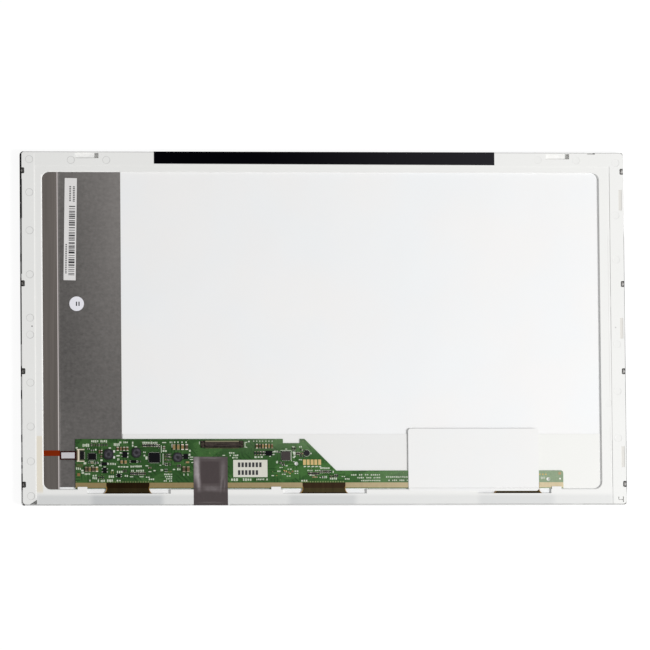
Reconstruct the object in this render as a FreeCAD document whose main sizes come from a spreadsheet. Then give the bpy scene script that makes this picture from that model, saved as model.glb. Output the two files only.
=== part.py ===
import FreeCAD, Part
import math
import os
import re
import Sketcher

# Rear-side-up laptop display module, 15.6-inch class, side mounted.
# Millimetres: X along the long side, Y towards the top edge, Z out of the rear.
# The front of the bezel lies on Z = 0 and the panel centre is the origin.

SIZES = {
    # bezel, folded from sheet steel
    "outline_width": 359.3,
    "outline_height": 209.5,
    "corner_radius": 1.8,
    "bezel_sheet": 0.3,
    "bezel_fold_radius": 0.25,
    "bezel_wall_top": 4.4,
    # side mounting holes, tapped M2 in burred bosses
    "mount_outer_spacing": 186.0,
    "mount_inner_spacing": 52.0,
    "mount_rise": 0.4,
    "boss_centre_height": 2.7,
    "boss_radius": 1.5,
    "boss_hole_radius": 0.8,
    "boss_depth": 1.1,
    "boss_notch_clearance": 0.3,
    # snap fit between bezel and frame
    "clip_top_spacing": 110.0,
    "clip_top_first": 45.0,
    "clip_film_gap": 15.0,
    "clip_side_place": 60.0,
    "clip_length": 5.0,
    "clip_window_room": 0.5,
    "clip_foot": 2.4,
    "clip_rise": 1.0,
    "clip_proud": 0.25,
    # cell stack
    "frame_gap": 0.15,
    "cell_wall_side": 3.4,
    "cell_wall_top": 2.5,
    "cell_wall_bottom": 2.9,
    "cell_clearance": 0.4,
    "filter_inset": 0.8,
    "array_ledge": 2.6,
    "polariser_inset": 0.9,
    "window_inset": 0.8,
    "glass_thickness": 0.5,
    "polariser_thickness": 0.2,
    "rim_tape_thickness": 0.3,
    "rim_tape_gap": 0.2,
    # backlight stack
    "sheet_air_gap": 0.05,
    "diffuser_thickness": 0.15,
    "prism_thickness": 0.175,
    "light_guide_thickness": 1.1,
    "reflector_thickness": 0.2,
    "cavity_step_left": 0.8,
    "cavity_step_right": 1.2,
    "cavity_step_top": 1.4,
    "cavity_step_bottom": 2.5,
    "guide_clearance": 0.4,
    "sheet_inset": 0.2,
    # LED bar
    "plate_sheet": 0.3,
    "strip_raise": 0.2,
    "joggle_run": 0.9,
    "bracket_clearance": 0.05,
    "flex_thickness": 0.12,
    "led_depth": 0.93,
    "led_length": 3.0,
    "led_height": 0.9,
    "led_pitch": 4.8,
    "led_air_gap": 0.2,
    "led_end_margin": 4.0,
    "strip_width": 9.35,
    "plate_width": 46.4,
    "plate_lap": 4.5,
    "plate_foot_gap": 1.35,
    "strip_foot_lap": 0.9,
    "plate_recess_clearance": 0.4,
    "tail_recess_room": 0.08,
    # LED tail
    "tail_width": 3.3,
    "tail_end_width": 5.0,
    "tail_end_shift": 1.35,
    "tail_slot_room": 0.6,
    "tail_slot_width": 1.0,
    "tail_mouth_depth": 1.1,
    "tail_ramp_clearance": 0.5,
    "patch_inset": 0.75,
    "patch_thickness": 0.08,
    # rear of the moulded frame
    "window_border_left": 12.85,
    "window_border_right": 15.15,
    "window_border_top": 12.25,
    "window_border_bottom": 9.35,
    "window_radius": 4.2,
    "window_bevel": 0.35,
    "rear_over_board": 0.4,
    "band_raise": 0.2,
    "band_left_width": 8.25,
    "band_right_width": 8.45,
    "band_top_width": 8.45,
    "notch_height": 3.6,
    "notch_depth": 2.4,
    "notch_corner": 0.7,
    "groove_width": 1.0,
    "groove_depth": 0.08,
    "groove_break": 6.6,
    "groove_upper_break": 56.1,
    "groove_lower_break": 16.1,
    "groove_top": 92.0,
    "groove_foot": -6.6,
    "groove_low_top": -66.4,
    "groove_low_foot": -94.2,
    "slot_width": 1.9,
    "slot_length": 12.3,
    "slot_spacing": 76.4,
    "slot_inset": 1.3,
    "slot_depth": 0.15,
    "pocket_length": 13.9,
    "pocket_height": 3.1,
    "pocket_inset": 0.95,
    "pocket_depth": 0.9,
    "pocket_place": 140.2,
    "pocket_well_length": 2.4,
    "pocket_well_depth": 2.6,
    "edge_notch_length": 4.6,
    "edge_notch_depth": 0.7,
    "edge_notch_floor": 1.2,
    "edge_notch_place": 160.3,
    "slit_width": 0.45,
    "slit_depth": 1.2,
    "slit_side_inset": 2.6,
    "slit_post_width": 2.7,
    "slit_post_height": 1.5,
    "slit_foot_inset": 3.1,
    "slit_side_reach": 3.4,
    "corner_cut_run": 4.4,
    "corner_cut_rise": 2.7,
    "corner_cut_left": 4.4,
    # control board
    "board_thickness": 0.5,
    "board_left_gap": 18.8,
    "board_right_gap": 22.9,
    "board_foot_gap": 0.4,
    "board_thin_height": 10.5,
    "board_tall_height": 29.3,
    "board_notch_place": 122.9,
    "board_notch_width": 10.1,
    "board_notch_depth": 2.5,
    "board_tall_length": 135.7,
    "board_corner_radius": 1.5,
    "board_hole_radius": 0.85,
    "board_hole_right_inset": 9.0,
    "board_hole_right_rise": 5.4,
    "board_hole_place": 130.7,
    "board_hole_rise": 14.7,
    "film_under_right_gap": 1.0,
    "film_under_rise": 32.2,
    "film_under_gap": 0.5,
    # hooks of the frame that hold the lower board edge
    "hook_width": 5.7,
    "hook_lap": 1.0,
    "hook_left_inset": 1.2,
    "hook_right_inset": 1.2,
    "hook_middle_gap": 1.4,
    # source films and their way through the bottom rail
    "film_left_inset": 30.9,
    "film_right_inset": 27.1,
    "film_middle_offset": 0.4,
    "film_width": 25.4,
    "film_wide_width": 40.0,
    "film_flare_radius": 3.2,
    "film_thickness": 0.1,
    "film_bond_length": 3.5,
    "film_ledge_gap": 0.5,
    "film_bend_clearance": 0.4,
    "film_channel_gap": 0.35,
    "film_rail_clearance": 0.15,
    "film_side_clearance": 1.0,
    "film_wall": 1.0,
    "rail_setback": 2.6,
    "slot_left_half": 24.2,
    "slot_right_half": 25.3,
    "slot_short_half": 19.8,
    "driver_chip_length": 16.0,
    "driver_chip_width": 1.6,
    "driver_chip_height": 0.4,
    # tapes, labels and the cover sheet
    "tape_thickness": 0.12,
    "tape_wrap_foot": 1.5,
    "top_tape_left": 99.5,
    "top_tape_right": 102.6,
    "top_tape_lap": 6.9,
    "ground_tape_place": 69.8,
    "ground_tape_width": 20.2,
    "ground_tape_rise": 18.8,
    "ground_tape_run": 1.0,
    "label_thickness": 0.1,
    "long_label_width": 7.2,
    "long_label_length": 60.6,
    "long_label_place": 2.2,
    "long_label_drop": 3.5,
    "long_label_turn": -1.05,
    "round_label_radius": 4.3,
    "round_label_place": 9.9,
    "round_label_drop": 78.1,
    "board_label_width": 20.3,
    "board_label_height": 10.2,
    "board_label_place": 93.3,
    "board_label_rise": 6.7,
    "cover_width": 77.7,
    "cover_height": 37.0,
    "cover_right_gap": 14.6,
    "cover_foot_rise": -1.6,
    "cover_run": 1.0,
    "cover_radius": 1.7,
    "cover_thickness": 0.2,
    # LED socket with its flip latch
    "led_socket_place": 0.8,
    "led_socket_rise": 15.9,
    "led_socket_width": 4.5,
    "led_socket_length": 7.5,
    "led_socket_height": 0.85,
    "led_socket_bar": 1.7,
    "led_socket_arm": 1.2,
    "led_mouth_foot": 0.25,
    "led_mouth_height": 0.25,
    "latch_clearance": 0.1,
    "latch_end_gap": 0.25,
    "latch_thickness": 0.44,
    "latch_over_contacts": 0.08,
    "latch_reach": 2.3,
    "latch_pin_radius": 0.14,
    "latch_pin_length": 0.4,
    "latch_pin_clearance": 0.06,
    "led_contact_thickness": 0.2,
    "led_contact_width": 0.3,
    "led_contact_pitch": 0.7,
    "led_contact_tail": 0.4,
    # display socket
    "display_place": 74.1,
    "display_rise": 24.1,
    "display_width": 25.4,
    "display_depth": 4.1,
    "display_height": 0.9,
    "display_end": 2.5,
    "display_shell": 0.15,
    "display_shell_gap": 0.05,
    "display_mouth_height": 0.25,
    "display_mouth_depth": 2.6,
    "display_contact_thickness": 0.1,
    "display_contact_width": 0.25,
    "display_contact_pitch": 0.5,
    "display_contact_tail": 0.45,
    # chip packages
    "lead_plane": 0.1,
    "lead_reach": 0.12,
    "dimple_radius": 0.3,
    "dimple_inset": 0.8,
    "dimple_depth": 0.06,
    "inductor_corner": 2.4,
    "inductor_core_radius": 2.1,
    "inductor_core_rise": 0.12,
    "coil_place": 137.0,
    "coil_rise": 20.9,
    "coil_radius": 1.7,
    "coil_height": 0.8,
}

# Counts of repeated pieces
LED_CONTACTS = 6
DISPLAY_CONTACTS = 40

# Packages with a lead frame: from the board's left edge and lower edge, width, depth, height
PACKAGES = {
    "led_driver": (7.5, 17.0, 4.7, 3.9, 0.75),
    "timing_controller": (43.4, 15.3, 6.6, 5.9, 0.75),
    "level_shifter": (122.0, 16.6, 5.2, 5.3, 0.7),
}

# Power inductors, as the packages above
INDUCTORS = {
    "inductor_left": (16.7, 17.1, 5.7, 6.2, 0.75),
    "inductor_middle": (33.4, 18.2, 5.3, 6.0, 0.75),
    "inductor_right": (57.7, 15.6, 5.6, 5.6, 0.75),
}

# Small moulded transistors and diodes, as the packages above
TRANSISTORS = {
    "supply_switch": (27.9, 18.3, 2.7, 3.4, 0.6),
    "bias_switch": (64.0, 17.4, 2.6, 3.0, 0.6),
    "input_switch": (112.6, 19.4, 3.9, 2.8, 0.6),
    "boost_diode": (15.5, 13.8, 3.2, 1.7, 0.6),
    "charge_diode": (32.8, 15.2, 3.2, 1.5, 0.6),
    "gate_switch": (24.6, 6.6, 2.0, 2.2, 0.5),
    "reset_switch": (16.2, 9.2, 2.2, 3.2, 0.5),
}

# Rows of chip parts: first centre from the board's left and lower edges, pitch, width, length
# and height. The chips of a row stand side by side along X.
CAPACITOR_ROWS = {
    "cap_led_store": (6.3, 11.4, 2.1, 1.5, 3.0, 0.8),
    "cap_supply_in": (25.0, 23.5, 1.9, 1.2, 2.3, 0.7),
    "cap_supply_out": (27.3, 15.7, 2.3, 1.4, 2.2, 0.7),
    "cap_led_feed": (14.2, 21.8, 1.3, 0.9, 2.0, 0.6),
    "cap_led_sense": (15.3, 19.0, 1.4, 0.9, 1.7, 0.5),
    "cap_core_feed": (44.0, 12.2, 1.6, 1.6, 0.9, 0.5),
    "cap_bias_store": (58.3, 24.5, 2.5, 1.5, 3.4, 0.8),
    "cap_bias_out": (64.1, 11.4, 2.5, 1.6, 3.4, 0.8),
    "cap_bias_link": (66.2, 15.5, 2.2, 2.2, 1.1, 0.6),
    "cap_input_store": (107.4, 25.0, 1.8, 1.1, 2.7, 0.7),
    "cap_clock": (124.1, 9.8, 2.1, 1.1, 0.8, 0.4),
    "cap_column": (140.6, 6.7, 1.9, 1.3, 0.7, 0.4),
}
RESISTOR_ROWS = {
    "res_led_row": (9.6, 25.8, 1.5, 0.8, 1.3, 0.4),
    "res_led_trim": (13.7, 6.6, 1.4, 0.7, 1.4, 0.4),
    "res_core_row": (32.6, 8.9, 1.2, 0.7, 1.5, 0.4),
    "res_core_pair": (28.4, 10.4, 1.4, 0.7, 1.5, 0.4),
    "res_data_row": (40.1, 25.4, 1.35, 0.8, 1.5, 0.4),
    "res_net_top": (52.9, 20.4, 1.5, 0.9, 0.7, 0.4),
    "res_net_upper": (52.9, 18.6, 1.5, 0.9, 0.7, 0.4),
    "res_net_lower": (52.9, 16.8, 1.5, 0.9, 0.7, 0.4),
    "res_net_foot": (52.9, 14.6, 1.4, 0.6, 1.3, 0.4),
    "res_bias_pair": (60.4, 13.3, 1.6, 0.7, 1.3, 0.4),
    "res_input_row": (106.4, 20.8, 1.6, 0.9, 2.2, 0.5),
    "res_shift_top": (128.7, 23.7, 1.5, 0.8, 1.3, 0.4),
    "res_shift_side": (131.1, 20.5, 1.4, 0.8, 1.4, 0.4),
    "res_shift_foot": (121.8, 15.0, 1.5, 0.8, 1.0, 0.4),
    "res_column_row": (138.0, 8.9, 1.2, 0.7, 1.5, 0.4),
    "res_column_end": (145.0, 9.6, 1.2, 0.7, 1.3, 0.4),
    "res_column_foot": (150.8, 7.0, 1.2, 0.6, 1.3, 0.4),
}

# Chips in each row
CHIP_COUNTS = {
    "cap_led_store": 4, "cap_supply_in": 4, "cap_supply_out": 2, "cap_led_feed": 2,
    "cap_led_sense": 1, "cap_core_feed": 1, "cap_bias_store": 4, "cap_bias_out": 2,
    "cap_bias_link": 1, "cap_input_store": 6, "cap_clock": 3, "cap_column": 2,
    "res_led_row": 7, "res_led_trim": 3, "res_core_row": 8, "res_core_pair": 2,
    "res_data_row": 8, "res_net_top": 3, "res_net_upper": 3, "res_net_lower": 3,
    "res_net_foot": 3, "res_bias_pair": 2, "res_input_row": 4, "res_shift_top": 2,
    "res_shift_side": 3, "res_shift_foot": 2, "res_column_row": 6, "res_column_end": 5,
    "res_column_foot": 4,
}

# Places and levels worked out from the sizes
LAYOUT = {
    "outline_x": "outline_width / 2",
    "outline_y": "outline_height / 2",
    "bezel_x": "outline_x - bezel_sheet",
    "bezel_y": "outline_y - bezel_sheet",
    "frame_x": "bezel_x - frame_gap",
    "frame_y": "bezel_y - frame_gap",
    # edges of the cell, from the frame inwards
    "cell_x": "frame_x - cell_wall_side",
    "cell_top": "frame_y - cell_wall_top",
    "cell_low": "cell_wall_bottom - frame_y",
    "array_x": "cell_x - cell_clearance",
    "array_top": "cell_top - cell_clearance",
    "array_low": "cell_low + cell_clearance",
    "filter_x": "array_x - filter_inset",
    "filter_top": "array_top - filter_inset",
    "filter_low": "array_low + array_ledge",
    "polar_x": "filter_x - polariser_inset",
    "polar_top": "filter_top - polariser_inset",
    "polar_low": "filter_low + polariser_inset",
    "view_x": "polar_x - window_inset",
    "view_top": "polar_top - window_inset",
    "view_low": "polar_low + window_inset",
    # levels, from the front to the rear
    "filter_front": "bezel_sheet + polariser_thickness",
    "array_front": "filter_front + glass_thickness",
    "cell_rear": "array_front + glass_thickness",
    "step_front": "cell_rear + rim_tape_thickness",
    "sheets_front": "step_front + sheet_air_gap",
    "upper_prism_front": "sheets_front + diffuser_thickness",
    "lower_prism_front": "upper_prism_front + prism_thickness",
    "lower_diffuser_front": "lower_prism_front + prism_thickness",
    "guide_front": "lower_diffuser_front + diffuser_thickness",
    "reflector_front": "guide_front + light_guide_thickness",
    "flange_front": "reflector_front + reflector_thickness",
    "plate_rear": "flange_front + plate_sheet",
    "strip_front": "flange_front + strip_raise",
    "strip_rear": "plate_rear + strip_raise",
    "tail_rear": "strip_rear + flex_thickness",
    "board_top": "plate_rear + board_thickness",
    "rail_rear": "board_top + rear_over_board",
    "band_rear": "rail_rear + band_raise",
    # backlight cavity, and the LED bar at its left
    "light_left": "cavity_step_left - cell_x",
    "light_right": "cell_x - cavity_step_right",
    "light_top": "cell_top - cavity_step_top",
    "light_low": "cell_low + cavity_step_bottom",
    "bracket_left": "light_left + bracket_clearance",
    "flex_left": "bracket_left + plate_sheet",
    "flex_right": "flex_left + flex_thickness",
    "led_right": "flex_right + led_depth",
    "guide_left": "led_right + led_air_gap",
    "guide_right": "light_right - guide_clearance",
    "guide_top": "light_top - guide_clearance",
    "guide_low": "light_low + guide_clearance",
    "guide_middle": "(guide_front + reflector_front) / 2",
    # rear window and the raised band round it
    "window_left": "window_border_left - outline_x",
    "window_right": "outline_x - window_border_right",
    "window_top": "outline_y - window_border_top",
    "window_low": "window_border_bottom - outline_y",
    "band_left": "band_left_width - outline_x",
    "band_right": "outline_x - band_right_width",
    "band_top": "outline_y - band_top_width",
    "boss_floor": "boss_centre_height - boss_radius - boss_notch_clearance",
    # folded LED bracket
    "riser_left": "window_left + strip_width",
    "riser_right": "riser_left + joggle_run",
    "plate_right": "window_left + plate_width",
    "plate_top": "window_top + plate_lap",
    "plate_low": "window_low + plate_foot_gap",
    "strip_low": "window_low - strip_foot_lap",
    # control board
    "board_left": "window_left + board_left_gap",
    "board_right": "window_right - board_right_gap",
    "board_low": "window_low + board_foot_gap",
    "board_thin_top": "board_low + board_thin_height",
    "board_tall_top": "board_low + board_tall_height",
    "board_notch_left": "board_left + board_notch_place",
    "board_notch_right": "board_notch_left + board_notch_width",
    "board_tall_right": "board_left + board_tall_length",
    "board_slope_right": "board_tall_right + board_tall_top - board_thin_top",
    # source films
    "film_left": "board_left + film_left_inset",
    "film_right": "board_right - film_right_inset",
    "film_middle": "(film_left + film_right) / 2 + film_middle_offset",
    "film_front": "array_front - film_thickness",
    "channel_front": "flange_front + film_channel_gap",
    "channel_rear": "channel_front + film_thickness",
    "rail_front": "channel_rear + film_rail_clearance",
    "bend_radius": "(channel_rear - film_front) / 2",
    "bend_centre": "film_bend_clearance - frame_y + bend_radius",
    "bond_top": "board_low + film_bond_length",
    "rail_edge": "window_low - rail_setback",
    "wall_low": "light_low - film_wall",
    "channel_half": "film_wide_width / 2 + film_side_clearance",
    # LED socket
    "led_socket_left": "board_left + led_socket_place",
    "led_socket_right": "led_socket_left + led_socket_width",
    "led_socket_low": "board_low + led_socket_rise",
    "led_socket_top": "led_socket_low + led_socket_length",
    "led_bay_left": "led_socket_left + led_socket_bar",
    "led_bay_low": "led_socket_low + led_socket_arm",
    "led_bay_top": "led_socket_top - led_socket_arm",
    "led_mouth_front": "board_top + led_mouth_foot",
    "latch_front": "board_top + led_contact_thickness + latch_over_contacts",
    "latch_pivot_height": "latch_front + latch_thickness / 2",
    "latch_pivot": "led_bay_left + latch_end_gap + latch_thickness / 2",
    "tail_low": "led_socket_low + led_socket_length / 2 - tail_end_width / 2",
    "tail_top": "tail_low + tail_end_width",
    "tail_start_top": "tail_top + tail_end_shift - 0.5 * (tail_end_width - tail_width)",
    "tail_mouth": "led_mouth_front + (led_mouth_height - flex_thickness) / 2",
    "tail_end": "led_socket_left + tail_mouth_depth",
    "ramp_left": "riser_left - tail_ramp_clearance + joggle_run",
    "ramp_right": "led_socket_left - tail_ramp_clearance",
    # display socket
    "display_left": "board_left + display_place",
    "display_low": "board_low + display_rise",
    "display_front": "board_top + display_contact_thickness",
    "display_rear": "board_top + display_height",
    # cover sheet
    "cover_right": "board_right - cover_right_gap",
    "cover_left": "cover_right - cover_width",
    "cover_low": "board_low + cover_foot_rise",
    "cover_front": "board_top + film_thickness",
}

PLACED_FIELDS = ("place", "rise", "width", "depth", "height")
ROW_FIELDS = ("place", "rise", "pitch", "width", "length", "height")
WORD = re.compile(r"[a-z]\w*")


def driving_sizes():
    """Every driving dimension with its alias."""
    sizes = dict(SIZES)
    for table, fields in (
        (PACKAGES, PLACED_FIELDS),
        (INDUCTORS, PLACED_FIELDS),
        (TRANSISTORS, PLACED_FIELDS),
        (CAPACITOR_ROWS, ROW_FIELDS),
        (RESISTOR_ROWS, ROW_FIELDS),
    ):
        for name, values in table.items():
            sizes.update({f"{name}_{field}": value for field, value in zip(fields, values)})
    return sizes


doc = FreeCAD.newDocument("laptop_lcd_panel")
sheet = doc.addObject("Spreadsheet::Sheet", "Dims")
holders = {}
for line, (alias, size) in enumerate(driving_sizes().items(), start=1):
    sheet.set(f"A{line}", alias)
    sheet.set(f"B{line}", str(size))
    sheet.setAlias(f"B{line}", alias)
    holders[alias] = f"Dims.{alias}"
doc.recompute()


def linked(text):
    """The expression with every size named by the object that holds it."""
    return WORD.sub(lambda found: holders.get(found.group(), found.group()), text)


layout = doc.addObject("App::VarSet", "Layout")
for place, rule in LAYOUT.items():
    layout.addProperty("App::PropertyFloat", place, "Places")
    layout.setExpression(place, linked(rule))
    holders[place] = f"Layout.{place}"
doc.recompute()


def number(text):
    """The value of an expression at the present sizes."""
    return float(layout.evalExpression(linked(text)))


def bind(item, path, text):
    """Tie one property of a feature to an expression."""
    item.setExpression(path, linked(text))


def named(item, label):
    """Give a finished piece the name of its node."""
    item.Label = label
    pieces.append(item)
    return item


pieces = []


def box_outline(left, right, low, top):
    """A rectangle."""
    return [(left, low), (right, low), (right, top), (left, top)]


def round_outline(left, right, low, top, radius):
    """A rectangle with four round corners."""
    inner_left, inner_right = f"{left} + {radius}", f"{right} - {radius}"
    inner_low, inner_top = f"{low} + {radius}", f"{top} - {radius}"
    return [
        (inner_left, low),
        (inner_right, low, inner_right, 1),
        (right, inner_low),
        (right, inner_top, inner_right, 1),
        (inner_right, top),
        (inner_left, top, inner_left, 1),
        (left, inner_top),
        (left, inner_low, inner_left, 1),
    ]


def arc_through(start, end, centre_x):
    """The counter-clockwise arc from start to end with its centre at centre_x."""
    middle = (start + end) * 0.5
    run = end - start
    centre = FreeCAD.Vector(centre_x, middle.y - (centre_x - middle.x) * run.x / run.y, 0)
    angles = [math.atan2(p.y - centre.y, p.x - centre.x) for p in (start, end)]
    circle = Part.Circle(centre, FreeCAD.Vector(0, 0, 1), (start - centre).Length)
    return Part.ArcOfCircle(circle, *angles)


def draw_loop(sketch, points):
    """Draw a closed loop and hold every corner at its own expressions.

    A corner is (x, y), or (x, y, centre_x, turn) where an arc leaves it, with turn 1 for
    counter-clockwise and -1 for clockwise.
    """
    corners = [FreeCAD.Vector(number(point[0]), number(point[1]), 0) for point in points]
    edges, held = [], []
    for point, start, end in zip(points, corners, corners[1:] + corners[:1]):
        if len(point) == 2:
            edges.append((sketch.addGeometry(Part.LineSegment(start, end)), 1, 2))
            continue
        ends = (start, end) if point[3] > 0 else (end, start)
        arc = sketch.addGeometry(arc_through(*ends, number(point[2])))
        edges.append((arc, 1, 2) if point[3] > 0 else (arc, 2, 1))
        held.append(("DistanceX", arc, 3, point[2]))
    joins = [
        Sketcher.Constraint("Coincident", edge, leaving, following, entering)
        for (edge, _, leaving), (following, entering, _) in zip(edges, edges[1:] + edges[:1])
    ]
    sketch.addConstraint(joins)
    for (edge, entering, _), point in zip(edges, points):
        held.append(("DistanceX", edge, entering, point[0]))
        held.append(("DistanceY", edge, entering, point[1]))
    hold(sketch, held)


def draw_circle(sketch, x, y, radius):
    """Draw a circle held by its centre and radius."""
    centre = FreeCAD.Vector(number(x), number(y), 0)
    circle = sketch.addGeometry(Part.Circle(centre, FreeCAD.Vector(0, 0, 1), number(radius)))
    index = sketch.addConstraint(Sketcher.Constraint("Radius", circle, number(radius)))
    bind(sketch, f"Constraints[{index}]", radius)
    hold(sketch, [("DistanceX", circle, 3, x), ("DistanceY", circle, 3, y)])


def hold(sketch, held):
    """Hold points at distances from the sketch origin that follow expressions."""
    first = sketch.ConstraintCount
    sketch.addConstraint([
        Sketcher.Constraint(kind, -1, 1, edge, point, number(text)) for kind, edge, point, text in held
    ])
    for index, (_, _, _, text) in enumerate(held, start=first):
        bind(sketch, f"Constraints[{index}]", text)


def sketch_on(body, name, role, offset, outlines):
    """A sketch of closed outlines on a plane of the body's origin, moved along its normal."""
    sketch = body.newObject("Sketcher::SketchObject", f"{name}_sketch")
    plane = next(item for item in body.Origin.OriginFeatures if item.Role == role)
    sketch.AttachmentSupport = (plane, [""])
    sketch.MapMode = "FlatFace"
    bind(sketch, "AttachmentOffset.Base.z", offset)
    for outline in outlines:
        if isinstance(outline, list):
            draw_loop(sketch, outline)
        else:
            draw_circle(sketch, *outline)
    return sketch


def raise_pad(body, name, low, high, *outlines, role="XY_Plane"):
    """Add material between two levels along the normal of a plane."""
    pad = body.newObject("PartDesign::Pad", name)
    pad.Profile = sketch_on(body, name, role, low, outlines)
    bind(pad, "Length", f"({high}) - ({low})")
    doc.recompute()
    return pad


def sink_pocket(body, name, low, high, *outlines, role="XY_Plane"):
    """Take material away between two levels along the normal of a plane."""
    pocket = body.newObject("PartDesign::Pocket", name)
    pocket.Profile = sketch_on(body, name, role, high, outlines)
    bind(pocket, "Length", f"({high}) - ({low})")
    doc.recompute()
    return pocket


def pierce(body, name, role, *outlines):
    """Cut outlines through the whole body, both ways from a plane through the origin."""
    pocket = body.newObject("PartDesign::Pocket", name)
    pocket.Profile = sketch_on(body, name, role, "0", outlines)
    pocket.Type = "ThroughAll"
    pocket.Midplane = True
    doc.recompute()
    return pocket


def edges_at(body, level, reach, low, top, rim="0"):
    """Names of the tip's edges that lie flat at a level, inside a box, and past a rim along X or Y."""
    z, x_most, y_low, y_top, x_rim = (number(text) for text in (level, reach, low, top, rim))
    slack = 1e-4
    names = []
    for index, edge in enumerate(body.Tip.Shape.Edges, start=1):
        box = edge.BoundBox
        flat = abs(box.ZMin - z) < slack and abs(box.ZMax - z) < slack
        across = max(-box.XMin, box.XMax)
        inside = box.YMin > y_low - slack and box.YMax < y_top + slack
        if flat and inside and x_rim - slack < across < x_most + slack:
            names.append(f"Edge{index}")
    return names


def round_edges(body, name, kind, size, text, edges):
    """Break the named edges of the body's tip with a fillet or a chamfer."""
    base = body.Tip
    feature = body.newObject(kind, name)
    feature.Base = (base, edges)
    bind(feature, size, text)
    doc.recompute()
    return feature


def new_body(label):
    """An empty body that becomes one node."""
    return named(doc.addObject("PartDesign::Body", label), label)


def block(name, xs, ys, zs):
    """A box between two expressions along each axis."""
    box = doc.addObject("Part::Box", name)
    for size, axis, (low, high) in (("Length", "x", xs), ("Width", "y", ys), ("Height", "z", zs)):
        bind(box, size, f"({high}) - ({low})")
        bind(box, f"Placement.Base.{axis}", low)
    return box


def group(label, members):
    """Several separate solids that share one node."""
    compound = doc.addObject("Part::Compound", label)
    compound.Links = members
    return named(compound, label)


MOUNT_PLACES = [
    f"mount_rise {sign} mount_{pair}_spacing / 2" for pair in ("outer", "inner") for sign in "+-"
]
CLIP_TOP_PLACES = [
    f"{sign}(clip_top_first{further})" for further in ("", " + clip_top_spacing") for sign in ("", "-")
]
CLIP_LOW_PLACES = [
    "film_left - channel_half - clip_film_gap",
    "(film_left + film_middle) / 2",
    "(film_middle + film_right) / 2",
    "film_right + channel_half + clip_film_gap",
]
CLIP_SIDE_PLACES = ["clip_side_place", "-clip_side_place"]
FILMS = {"left": "film_left", "middle": "film_middle", "right": "film_right"}


def build_front_bezel():
    """Folded steel bezel: front flange, four walls, clip windows and burred screw bosses."""
    body = new_body("front_bezel")
    raise_pad(body, "bezel_blank", "0", "bezel_wall_top",
              round_outline("-outline_x", "outline_x", "-outline_y", "outline_y", "corner_radius"))
    sink_pocket(body, "bezel_inside", "bezel_sheet", "bezel_wall_top",
                round_outline("-bezel_x", "bezel_x", "-bezel_y", "bezel_y", "(corner_radius - bezel_sheet)"))
    sink_pocket(body, "view_window", "-bezel_sheet", "bezel_sheet",
                box_outline("-view_x", "view_x", "view_low", "view_top"))
    round_edges(body, "bezel_fold", "PartDesign::Fillet", "Radius", "bezel_fold_radius",
                edges_at(body, "0", "outline_x", "-outline_y", "outline_y", rim="outline_x - corner_radius"))
    foot, head = "clip_foot - clip_window_room", "clip_foot + clip_rise + clip_window_room"
    half = "(clip_length / 2 + clip_window_room)"
    sink_pocket(body, "top_clip_windows", "-outline_y - bezel_sheet", "-bezel_y",
                *[box_outline(f"{x} - {half}", f"{x} + {half}", foot, head) for x in CLIP_TOP_PLACES],
                role="XZ_Plane")
    sink_pocket(body, "low_clip_windows", "bezel_y", "outline_y + bezel_sheet",
                *[box_outline(f"{x} - {half}", f"{x} + {half}", foot, head) for x in CLIP_LOW_PLACES],
                role="XZ_Plane")
    pierce(body, "side_clip_windows", "YZ_Plane",
           *[box_outline(f"{y} - {half}", f"{y} + {half}", foot, head) for y in CLIP_SIDE_PLACES])
    bosses = [(y, "boss_centre_height", "boss_radius") for y in MOUNT_PLACES]
    raise_pad(body, "left_bosses", "-bezel_x", "boss_depth - bezel_x", *bosses, role="YZ_Plane")
    raise_pad(body, "right_bosses", "bezel_x - boss_depth", "bezel_x", *bosses, role="YZ_Plane")
    pierce(body, "boss_holes", "YZ_Plane",
           *[(y, "boss_centre_height", "boss_hole_radius") for y in MOUNT_PLACES])


def screw_notch(side, y):
    """The round-cornered notch that clears one screw boss, open at the frame's side."""
    outer = f"{side}outline_x"
    inward, sign = ("+", "-") if side == "-" else ("-", "+")
    inner = f"{outer} {inward} notch_depth"
    centre = f"{inner} {sign} notch_corner"
    first, second = f"{y} {sign} notch_height / 2", f"{y} {inward} notch_height / 2"
    return [
        (outer, first),
        (centre, first, centre, 1),
        (inner, f"{first} {inward} notch_corner"),
        (inner, f"{second} {sign} notch_corner", centre, 1),
        (centre, second),
        (outer, second),
    ]


def film_slots():
    """Left and right end of the rail opening at each source film."""
    ends = []
    for place in FILMS.values():
        reach = "slot_short_half" if place == "film_right" else "slot_right_half"
        ends.append((f"{place} - slot_left_half", f"{place} + {reach}"))
    return ends


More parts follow.
